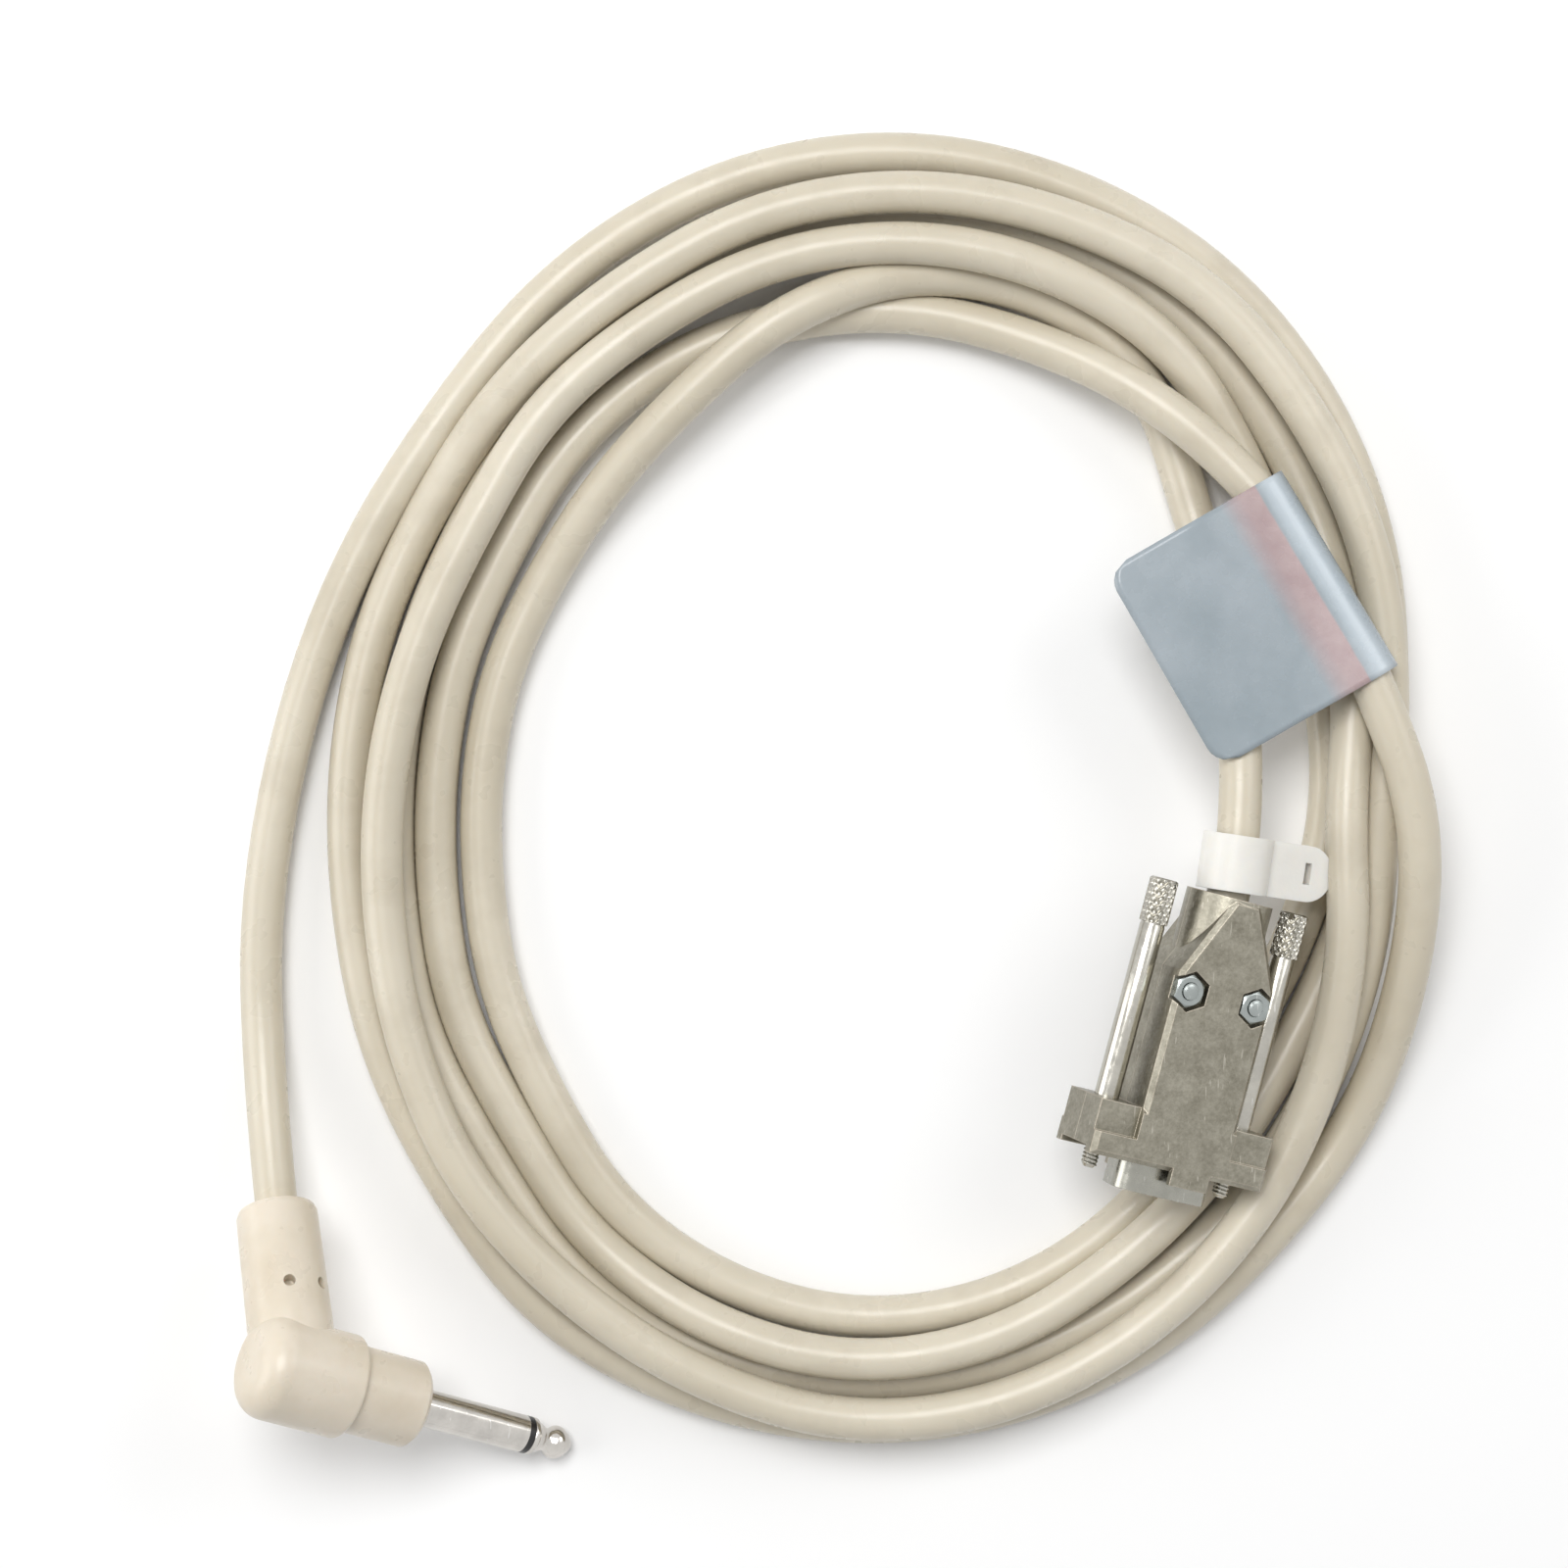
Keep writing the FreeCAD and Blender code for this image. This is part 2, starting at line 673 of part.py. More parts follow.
# ---------------------------------------------------------------- the cord's end in the hood
def nylon_clamp():
    """The nylon strain clamp: a collar on the cord with a flat tab that ends in a round eye."""
    back = size("hood_long") + size("neck_long") + size("nylon_back")
    place = frame(in_connector(-0.13, 0, -back), heading(NYLON_TURN, 0), connector_across)
    body = body_named("nylon_cable_clamp", place)
    front = "0"
    collar = sketch_on(body, "nylon_collar_circle", "XY_Plane", front)
    circle(collar, "0", "0", "cord_radius + nylon_wall")
    pad(body, collar, "nylon_collar", "nylon_long", reverse=True)
    middle = "(-nylon_long / 2)"
    tab = sketch_on(body, "nylon_tab_plan", "XZ_Plane", "-nylon_thick / 2")
    box_outline(tab, "0", "nylon_tab", "-nylon_long", front)
    pad(body, tab, "nylon_tab_pad", "nylon_thick")
    eye = sketch_on(body, "nylon_eye_circle", "XZ_Plane", "-nylon_thick / 2")
    circle(eye, "nylon_tab", middle, "nylon_long / 2")
    pad(body, eye, "nylon_eye", "nylon_thick")
    bore = sketch_on(body, "nylon_bore_circle", "XY_Plane", front)
    circle(bore, "0", "0", "cord_radius + nylon_slack")
    pocket(body, bore, "nylon_bore", "nylon_long")
    slot = sketch_on(body, "nylon_slot_plan", "XZ_Plane", "-nylon_thick / 2")
    half_wide = "nylon_slot_wide / 2"
    half_long = "nylon_slot_long / 2"
    box_outline(
        slot,
        f"nylon_tab - {half_wide}",
        f"nylon_tab + {half_wide}",
        f"{middle} - {half_long}",
        f"{middle} + {half_long}",
    )
    pocket(body, slot, "nylon_slot", "nylon_thick", reverse=True)
    return body


nylon_cable_clamp = nylon_clamp()
turned_part("shield_ferrule", CONNECTOR, [
    ("cord_radius", "-jacket_end"),
    ("cord_radius + ferrule_wall", "-jacket_end"),
    ("cord_radius + ferrule_wall", "-jacket_end - ferrule_long"),
    ("cord_radius", "-jacket_end - ferrule_long"),
])


# ---------------------------------------------------------------- tubes along rounded routes
ROUND_SHARE = 0.45


def rounded_path(points, label):
    """Straight runs joined by tangent arcs, each as large as its two runs allow."""
    edges = []
    radii = []
    start = points[0]
    for before, corner, after in zip(points, points[1:], points[2:]):
        come = (corner - before).normalize()
        leave = (after - corner).normalize()
        turn = come.getAngle(leave)
        cut = ROUND_SHARE * min((corner - before).Length, (after - corner).Length)
        radius = cut / math.tan(turn / 2)
        first = corner - come * cut
        last = corner + leave * cut
        inward = (leave - come).normalize()
        middle = corner + inward * (radius / math.cos(turn / 2) - radius)
        if (first - start).Length > 1e-6:
            edges.append(Part.LineSegment(start, first).toShape())
        edges.append(Part.Arc(first, middle, last).toShape())
        radii.append(round(radius, 1))
        start = last
    edges.append(Part.LineSegment(start, points[-1]).toShape())
    print(f"{label}: arc radii {radii}")
    return Part.Wire(edges)


def tube_along(name, points, radius):
    """A round solid along a rounded path, its volume checked against section times length."""
    path = rounded_path(points, name)
    section = Part.Wire([Part.Circle(points[0], points[1] - points[0], radius).toShape()])
    shape = path.makePipeShell([section], True, False, 2)
    ratio = shape.Volume / (math.pi * radius ** 2 * path.Length)
    print(f"{name}: {path.Length:.1f} mm long, volume ratio {ratio:.5f}")
    if abs(ratio - 1) > 0.002:
        raise RuntimeError(f"{name}: the tube's volume is wrong")
    feature = doc.addObject("Part::Feature", name)
    feature.Label = name
    feature.Shape = shape
    return feature


jacket_end = -size("jacket_end")
cup_back = -size("insulator_rear") - size("cup_long") / 2 - 0.2
row_offset = size("contact_row") / 2
half_pitch = size("contact_pitch") / 2
tube_along("connector_signal_wire", [
    in_connector(1.4, 0.3, jacket_end + 0.05),
    in_connector(1.6, 0.5, -18.0),
    in_connector(0.6, 1.1, -14.5),
    in_connector(0.0, row_offset, cup_back - 1.9),
], size("wire_radius") / 2)
tube_along("connector_drain_wire", [
    in_connector(-1.4, -0.3, jacket_end + 0.05),
    in_connector(-2.6, -0.8, -18.0),
    in_connector(-4.0, -1.2, -14.5),
    in_connector(-3 * half_pitch, -row_offset, cup_back - 1.9),
], size("wire_radius") / 2)


# ---------------------------------------------------------------- right-angle phone plug
def leaning(along, out):
    """A point of the barrel's lengthwise section: so far along it, so far out from its axis."""
    return (
        f"({along}) * cos(barrel_lean) + ({out}) * sin(barrel_lean)",
        f"({out}) * cos(barrel_lean) - ({along}) * sin(barrel_lean)",
    )


def barrel_axis(sketch):
    """The barrel's axis as a construction line of a sketch."""
    end = leaning("barrel_long", "0")
    line = sketch.addGeometry(Part.LineSegment(V(), V(value(end[0]), value(end[1]), 0)), True)
    sketch.addConstraint(Sketcher.Constraint("Coincident", line, 1, -1, 1))
    drive(sketch, "DistanceX", -1, 1, line, 2, end[0])
    drive(sketch, "DistanceY", -1, 1, line, 2, end[1])
    return "Axis0"


def plug_overmould():
    """The moulded elbow: a domed head with the cord's barrel leaning off it."""
    body = body_named("plug_overmould", PLUG)
    head = sketch_on(body, "overmould_head_profile", "XZ_Plane")
    box_outline(head, "0", "head_radius", "-head_back", "head_front")
    turned(body, head, "overmould_head")

    def rim_at(place, radius):
        def test(edge):
            if edge.Curve.TypeId != "Part::GeomCircle":
                return False
            here = abs(edge.Curve.Center.z - value(place)) < 1e-4
            return here and abs(edge.Curve.Radius - value(radius)) < 1e-4
        return test

    soften(body, "Fillet", "overmould_dome", rim_at("-head_back", "head_radius"), "head_dome")
    soften(body, "Fillet", "overmould_front", rim_at("head_front", "head_radius"), "head_edge")

    barrel = sketch_on(body, "overmould_barrel_profile", "XZ_Plane")
    outline(barrel, [
        leaning("0", "0"),
        leaning("0", "barrel_root"),
        leaning("head_radius", "barrel_root"),
        leaning("barrel_long - barrel_edge", "barrel_radius"),
        leaning("barrel_long - barrel_edge * 0.3", "barrel_radius - barrel_edge * 0.3"),
        leaning("barrel_long", "barrel_radius - barrel_edge"),
        leaning("barrel_long", "0"),
    ])
    turned(body, barrel, "overmould_barrel", barrel_axis(barrel))

    room = sketch_on(body, "overmould_room_profile", "XZ_Plane")
    outline(room, [
        ("0", "-lug_room_back"),
        ("lug_room", "-lug_room_back"),
        ("lug_room", "stub_back"),
        ("stub_radius + fit", "stub_back"),
        ("stub_radius + fit", "head_front + head_edge"),
        ("0", "head_front + head_edge"),
    ])
    groove(body, room, "overmould_room")

    way = sketch_on(body, "overmould_way_profile", "XZ_Plane")
    outline(way, [
        leaning("0", "0"),
        leaning("0", "wire_way"),
        leaning("cord_end", "wire_way"),
        leaning("cord_end", "cord_radius + fit"),
        leaning("barrel_long + barrel_edge", "cord_radius + fit"),
        leaning("barrel_long + barrel_edge", "0"),
    ])
    groove(body, way, "overmould_way", barrel_axis(way))

    bar = leaning("1", "0")
    axis = V(value(bar[0]), value(bar[1]), 0)
    lift = FreeCAD.Placement(V(0, 0, -2 * size("barrel_radius")), FreeCAD.Rotation())
    for index, turn in enumerate((28, -24)):
        hole = sketch_on(body, f"overmould_pin_hole_{index}", "XZ_Plane")
        spin = FreeCAD.Placement(V(), FreeCAD.Rotation(axis, turn))
        hole.AttachmentOffset = spin.multiply(lift)
        x, y = leaning("barrel_long - pin_hole_back", "0")
        circle(hole, x, y, "pin_hole_radius")
        deep = "barrel_radius + pin_hole_deep"
        pocket(body, hole, f"overmould_pin_cut_{index}", deep, reverse=True)
    return body


plug_overmould()
turned_part("plug_neck", PLUG, [
    ("finger_radius - finger_step + fit", "stub_back"),
    ("stub_radius", "stub_back"),
    ("stub_radius", "head_front + fit"),
    ("neck_radius", "head_front + fit"),
    ("neck_radius", "neck_front - neck_edge"),
    ("neck_radius - neck_edge", "neck_front"),
    ("finger_radius - finger_step + fit", "neck_front"),
])
ring_front = "(neck_front + finger_long - ring_back)"
turned_part("plug_sleeve", PLUG, [
    ("tube_radius + fit", "finger_back"),
    ("finger_radius - finger_step", "finger_back"),
    ("finger_radius - finger_step", "neck_front"),
    ("finger_radius", "neck_front"),
    ("finger_radius", f"{ring_front} - ring_long"),
    ("tube_radius + fit", f"{ring_front} - ring_long"),
])
turned_part("insulating_ring", PLUG, [
    ("rod_radius + fit", f"{ring_front} - ring_long"),
    ("finger_radius", f"{ring_front} - ring_long"),
    ("finger_radius", ring_front),
    ("rod_radius + fit", ring_front),
])
turned_part("rod_insulator", PLUG, [
    ("rod_radius + fit", "-tip_lug_at"),
    ("tube_radius", "-tip_lug_at"),
    ("tube_radius", f"{ring_front} - ring_long"),
    ("rod_radius + fit", f"{ring_front} - ring_long"),
])
turned_part("plug_tip", PLUG, [
    ("rod_radius + fit", ring_front),
    ("finger_radius", ring_front),
    ("finger_radius", f"{ring_front} + tip_shoulder"),
    ("tip_waist", f"{ring_front} + tip_waist_at"),
    ("tip_ball - 0.35", f"{ring_front} + tip_ball_at - 0.9"),
    ("tip_ball", f"{ring_front} + tip_ball_at"),
    ("tip_ball - 0.25", f"{ring_front} + tip_ball_at + 0.8"),
    ("tip_end + 0.5", f"{ring_front} + ring_back - 0.5"),
    ("tip_end", f"{ring_front} + ring_back"),
    ("0", f"{ring_front} + ring_back"),
    ("0", f"{ring_front} + tip_hole"),
    ("rod_radius + fit", f"{ring_front} + tip_hole"),
])
rod_back = "(-tip_lug_at - lug_thick)"
turned_part("tip_rod", PLUG, [
    ("0", f"{rod_back} - lug_thick"),
    ("rod_head", f"{rod_back} - lug_thick"),
    ("rod_head", rod_back),
    ("rod_radius", rod_back),
    ("rod_radius", f"{ring_front} + tip_hole"),
    ("0", f"{ring_front} + tip_hole"),
])


def lug(name, low, hole, round_radius):
    """A thin solder lug on the plug's axis, its tab towards the cord."""
    body = body_named(name, PLUG)
    disc = sketch_on(body, f"{name}_disc", "XY_Plane", low)
    circle(disc, "0", "0", round_radius)
    pad(body, disc, f"{name}_round", "lug_thick")
    tab = sketch_on(body, f"{name}_tab_plan", "XY_Plane", low)
    box_outline(tab, "0", "lug_long", "-lug_wide / 2", "lug_wide / 2")
    pad(body, tab, f"{name}_tab", "lug_thick")
    bore = sketch_on(body, f"{name}_bore_circle", "XY_Plane", f"{low} + lug_thick")
    circle(bore, "0", "0", hole)
    pocket(body, bore, f"{name}_bore", "lug_thick")


lug("tip_lug", rod_back, "rod_radius + fit", "lug_wide / 2 + lug_thick")
lug("ground_lug", "finger_back - lug_thick", "tube_radius + fit", "ground_lug_radius")

lean = math.radians(size("barrel_lean"))


def in_barrel(along, side):
    """A point in the barrel, in the room's frame."""
    return in_plug(along * math.cos(lean), side, -along * math.sin(lean))


cord_end = size("cord_end")
tube_along("plug_signal_wire", [
    in_barrel(cord_end - 0.05, 1.0),
    in_plug(9.6, 1.1, -1.9),
    in_plug(6.6, 0.6, -1.6),
    in_plug(3.6, 0.0, -1.95),
], size("wire_radius") / 2)
tube_along("plug_drain_wire", [
    in_barrel(cord_end - 0.05, -1.0),
    in_plug(9.6, -1.0, -1.5),
    in_plug(6.2, -0.5, 0.0),
    in_plug(3.4, 0.0, 2.95),
], size("wire_radius") / 2)


# ---------------------------------------------------------------- the cord's free stretches
FLOOR_HIGH = size("cord_radius")
tube_along("cord_plug_tail", [
    in_barrel(cord_end, 0.0),
    V(-88.9, 5.9, FLOOR_HIGH),
    V(-90.0, 47.6, FLOOR_HIGH),
    V(-77.1, 96.1, FLOOR_HIGH),
    V(-56.2, 121.7, FLOOR_HIGH),
], size("cord_radius"))
tube_along("cord_connector_tail", [
    in_connector(0.0, 0.0, jacket_end),
    in_connector(0.0, 0.0, jacket_end - 26.0),
    V(76.1, 58.6, 18.9),
    V(76.3, 73.1, 15.0),
    V(74.4, 89.6, 8.6),
    V(69.9, 107.6, FLOOR_HIGH),
    V(64.4, 121.1, FLOOR_HIGH),
], size("cord_radius"))


# ---------------------------------------------------------------- the coil's outer shape
COIL_MIDDLE = V(16.6, 59.9, 0)
# Reach from the middle at each clock hour, from nine o'clock on, clockwise.
LOWER_INSIDE = [64.0, 63.0, 69.8, 80.1, 77.9, 75.2, 73.2, 70.2, 80.1, 86.3, 80.4, 70.2]
LOWER_OUTSIDE = [94.6, 101.7, 107.7, 113.4, 109.7, 99.3, 95.5, 101.0, 106.0, 111.2, 108.7, 100.0]
UPPER_INSIDE = [80.8, 78.7, 70.0, 85.1, 77.7, 79.4, 80.5, 84.5, 96.4, 103.5, 97.0, 88.5]
UPPER_OUTSIDE = [89.1, 87.1, 100.2, 107.2, 106.6, 98.0, 94.5, 93.5, 104.5, 110.5, 105.0, 96.0]


def ring_face(inside, outside, height):
    """A flat ring between two smooth closed curves through the hourly reaches."""
    faces = []
    for reaches in (outside, inside):
        points = []
        for hour, reach in enumerate(reaches):
            angle = math.radians(180 - 30 * hour)
            spot = V(reach * math.cos(angle), reach * math.sin(angle), height)
            points.append(COIL_MIDDLE + spot)
        curve = Part.BSplineCurve()
        curve.interpolate(points, PeriodicFlag=True)
        faces.append(Part.Face(Part.Wire([curve.toShape()])))
    return faces[0].cut(faces[1])


layer = 2 * size("cord_radius") + 0.1
lower = ring_face(LOWER_INSIDE, LOWER_OUTSIDE, 0).extrude(V(0, 0, layer))
upper = ring_face(UPPER_INSIDE, UPPER_OUTSIDE, layer - 0.1).extrude(V(0, 0, layer + 0.1))
coil = doc.addObject("Part::Feature", "cord_coil")
coil.Label = "cord_coil"
coil.Shape = lower.fuse(upper)
print(f"cord_coil: {len(coil.Shape.Solids)} solid, {coil.Shape.Volume / 1000:.0f} cm3")


# ---------------------------------------------------------------- label flag
LABEL_CORNERS = [V(83.3, 114.0, 0), V(101.6, 81.6, 0), V(72.5, 64.5, 0), V(54.5, 93.6, 0)]
LABEL_HIGH = 20.8
label_outline = Part.makePolygon(LABEL_CORNERS + LABEL_CORNERS[:1])
label = doc.addObject("Part::Feature", "label_flag")
label.Label = "label_flag"
label.Shape = Part.Face(label_outline).extrude(V(0, 0, 0.5))
label.Placement = FreeCAD.Placement(V(0, 0, LABEL_HIGH), FreeCAD.Rotation())


# ---------------------------------------------------------------- checks and files
doc.recompute()
for item in doc.Objects:
    if "Invalid" in item.State or "Error" in item.State:
        raise RuntimeError(f"{item.Label} did not rebuild: {item.State}")

os.makedirs("parts", exist_ok=True)
parts = [
    item for item in doc.Objects
    if item.TypeId == "PartDesign::Body" or item.TypeId == "Part::Feature"
]
for item in parts:
    shape = item.Shape
    if shape.isNull() or not shape.isValid() or shape.Volume <= 0:
        raise RuntimeError(f"{item.Label} has no valid solid")
    shape.exportStep(f"parts/{item.Label}.step")
print(f"{len(parts)} pieces written")
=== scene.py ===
"""The instrument cable's looks: cord, label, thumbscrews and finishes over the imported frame."""
import json
import math

import bmesh
import bpy
from mathutils import Matrix, Vector


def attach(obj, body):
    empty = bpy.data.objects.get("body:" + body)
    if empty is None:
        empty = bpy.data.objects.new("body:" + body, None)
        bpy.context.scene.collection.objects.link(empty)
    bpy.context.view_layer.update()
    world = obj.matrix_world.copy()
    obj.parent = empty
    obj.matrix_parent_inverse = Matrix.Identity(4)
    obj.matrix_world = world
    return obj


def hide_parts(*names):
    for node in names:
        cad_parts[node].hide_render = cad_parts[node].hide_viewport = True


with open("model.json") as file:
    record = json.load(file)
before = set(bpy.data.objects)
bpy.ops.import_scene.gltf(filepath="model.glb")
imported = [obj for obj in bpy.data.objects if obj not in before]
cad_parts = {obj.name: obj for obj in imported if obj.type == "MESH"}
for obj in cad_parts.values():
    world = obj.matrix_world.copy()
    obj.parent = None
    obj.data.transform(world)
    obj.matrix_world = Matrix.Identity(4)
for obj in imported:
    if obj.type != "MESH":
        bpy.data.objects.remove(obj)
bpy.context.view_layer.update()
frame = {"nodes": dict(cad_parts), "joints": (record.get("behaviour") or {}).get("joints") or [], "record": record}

MM = 0.001


# ---------------------------------------------------------------- camera

camera_data = bpy.data.cameras.new("camera")
camera = bpy.data.objects.new("camera", camera_data)
bpy.context.scene.collection.objects.link(camera)
camera.location = (-0.0001, 0.06163, 0.600)
camera_data.sensor_width = 36.0
camera_data.lens = 80.1
camera_data.clip_start = 0.01
bpy.context.scene.camera = camera


def add(name, mesh):
    """A new object of a mesh or curve, linked to the scene."""
    piece = bpy.data.objects.new(name, mesh)
    bpy.context.scene.collection.objects.link(piece)
    return piece


# ---------------------------------------------------------------- cord

CORD_RADIUS = 3.6
COIL_MIDDLE = (16.6, 59.9)
EYE_HIGH = 600.0
REACH_UNIT = 3529.74

# The plug's tail, from inside its barrel to where the coil takes over, in millimetres.
PLUG_TAIL = [
    (-82.9, -23.3, 19.6),
    (-88.9, 5.9, 3.6),
    (-90.0, 47.6, 3.6),
    (-77.1, 96.1, 3.6),
]

# The coil's turns: hour on a clock face and on from there, how far out, and height in
# millimetres. How far out is an angle seen from EYE_HIGH over the table: its tangent is the
# number here over REACH_UNIT.
TURNS = [
    (10.6, 600, 3.6), (11, 622, 3.6), (12, 656, 3.6), (13, 634, 3.6), (14, 572, 3.6),
    (15, 503, 3.6), (15.5, 490, 3.6), (16, 487, 3.6), (17, 528, 9.3), (18, 581, 10.0),
    (18.5, 571, 9.6), (19, 549, 3.6), (19.5, 504, 3.6), (20, 488, 3.6), (21, 452, 3.6),
    (22, 454, 3.6), (23, 489, 3.6), (24, 493, 3.6), (24.5, 486, 4.5), (25, 486, 10.8),
    (25.5, 488, 13), (26, 492, 16), (26.5, 505, 18), (27, 543, 18), (27.5, 560, 13),
    (28, 582, 3.6), (28.5, 592, 3.6), (29, 616, 3.6), (30, 642, 3.6), (31, 634, 3.6),
    (31.5, 598, 3.6), (32, 576, 3.6), (33, 542, 3.6),
    (34, 543, 3.6), (34.5, 560, 7.6), (35, 575, 9.7), (36, 617, 10.6), (37, 613, 10.6),
    (37.5, 585, 10.8), (38, 562, 10.8), (38.5, 533, 10.8), (39, 503, 10.8), (39.5, 514, 10.2),
    (39.75, 523, 7.8), (40, 530, 3.6), (41, 569, 3.6), (42, 599, 3.6), (43, 591, 3.6),
    (43.5, 546, 3.6), (44, 531, 3.6), (45, 495, 3.6),
    (46, 499, 3.6), (47, 548, 3.6), (48, 597, 3.6), (49, 580, 3.6), (49.5, 548, 3.6),
    (50, 520, 3.8), (50.5, 495, 10.8), (51, 465, 14), (51.5, 490, 16), (51.75, 507, 14.5),
    (52, 524, 11.2), (52.5, 562, 10.8), (53, 598, 10.8), (54, 642, 10.8), (55, 602, 10.8),
    (55.5, 583, 10.8), (56, 551, 10.8), (57, 507, 10.8),
    (58, 494, 10.8), (58.5, 518, 10.8), (59, 531, 10.8), (60, 565, 11.2), (60.5, 562, 11.2),
    (61, 550, 9.5), (61.5, 505, 3.6), (62, 470, 3.6), (63, 458, 3.6), (64, 440, 3.6),
    (65, 500, 3.6), (66, 536, 3.6), (67, 506, 3.6), (67.5, 464, 3.6), (68, 440, 3.6),
    (69, 406, 3.6),
    (70, 405, 3.6), (71, 441, 9), (71.5, 488, 10.8), (72, 530, 7.8), (72.4, 540, 4),
    (73, 510, 3.6), (73.5, 466, 3.6),
]

# The connector's tail, from the coil up into the hood.
CONNECTOR_TAIL = [
    (69.9, 107.6, 3.6),
    (74.4, 89.6, 8.6),
    (76.3, 73.1, 15.0),
    (76.1, 58.6, 18.9),
    (74.56, 44.73, 19.9),
    (67.84, 19.61, 19.9),
]


def between(xs, ys, x):
    """A smooth value between given ones, without swinging past any of them."""
    count = len(xs)
    gaps = [xs[i + 1] - xs[i] for i in range(count - 1)]
    slopes = [(ys[i + 1] - ys[i]) / gaps[i] for i in range(count - 1)]
    grades = [slopes[0]] + [0.0] * (count - 1)
    for i in range(1, count - 1):
        if slopes[i - 1] * slopes[i] > 0:
            first = 2 * gaps[i] + gaps[i - 1]
            second = gaps[i] + 2 * gaps[i - 1]
            grades[i] = (first + second) / (first / slopes[i - 1] + second / slopes[i])
    i = 0
    while i < count - 2 and x > xs[i + 1]:
        i += 1
    t = (x - xs[i]) / gaps[i]
    low = (1 + 2 * t) * (1 - t) ** 2 * ys[i] + t * (1 - t) ** 2 * gaps[i] * grades[i]
    high = t * t * (3 - 2 * t) * ys[i + 1] + t * t * (t - 1) * gaps[i] * grades[i + 1]
    return low + high


def coil_points():
    """The turns as points half an hour apart, 24 to a turn."""
    hours = [turn[0] for turn in TURNS]
    reaches = [turn[1] * (EYE_HIGH - turn[2]) / REACH_UNIT for turn in TURNS]
    heights = [turn[2] for turn in TURNS]
    points = []
    hour = hours[0]
    while hour <= hours[-1] + 1e-6:
        reach = between(hours, reaches, hour)
        angle = math.radians(180 - 30 * (hour - 9))
        x = COIL_MIDDLE[0] + reach * math.cos(angle)
        y = COIL_MIDDLE[1] + reach * math.sin(angle)
        points.append((x, y, between(hours, heights, hour)))
        hour += 0.5
    return points


def nurbs_curve(name, points):
    """An open NURBS spline whose control points are these, given in millimetres."""
    curve = bpy.data.curves.new(name, "CURVE")
    curve.dimensions = "3D"
    spline = curve.splines.new("NURBS")
    spline.points.add(len(points) - 1)
    for knot, place in zip(spline.points, points):
        knot.co = (place[0] * MM, place[1] * MM, place[2] * MM, 1.0)
    spline.order_u = 3
    spline.use_endpoint_u = True
    spline.resolution_u = 8
    return curve


cord_curve = nurbs_curve("cord", PLUG_TAIL + coil_points() + CONNECTOR_TAIL)
cord = add("cord", cord_curve)
route_mesh = bpy.data.meshes.new_from_object(cord)
ROUTE = [vertex.co.copy() for vertex in route_mesh.vertices]
cord_curve.bevel_depth = CORD_RADIUS * MM
cord_curve.bevel_resolution = 7
cord_curve.use_fill_caps = True


# ---------------------------------------------------------------- materials

def srgb(red, green, blue):
    """A colour as it looks, 0 to 255, in the linear values a shader takes."""
    out = []
    for value in (red, green, blue):
        part = value / 255
        out.append(part / 12.92 if part <= 0.04045 else ((part + 0.055) / 1.055) ** 2.4)
    return (*out, 1.0)


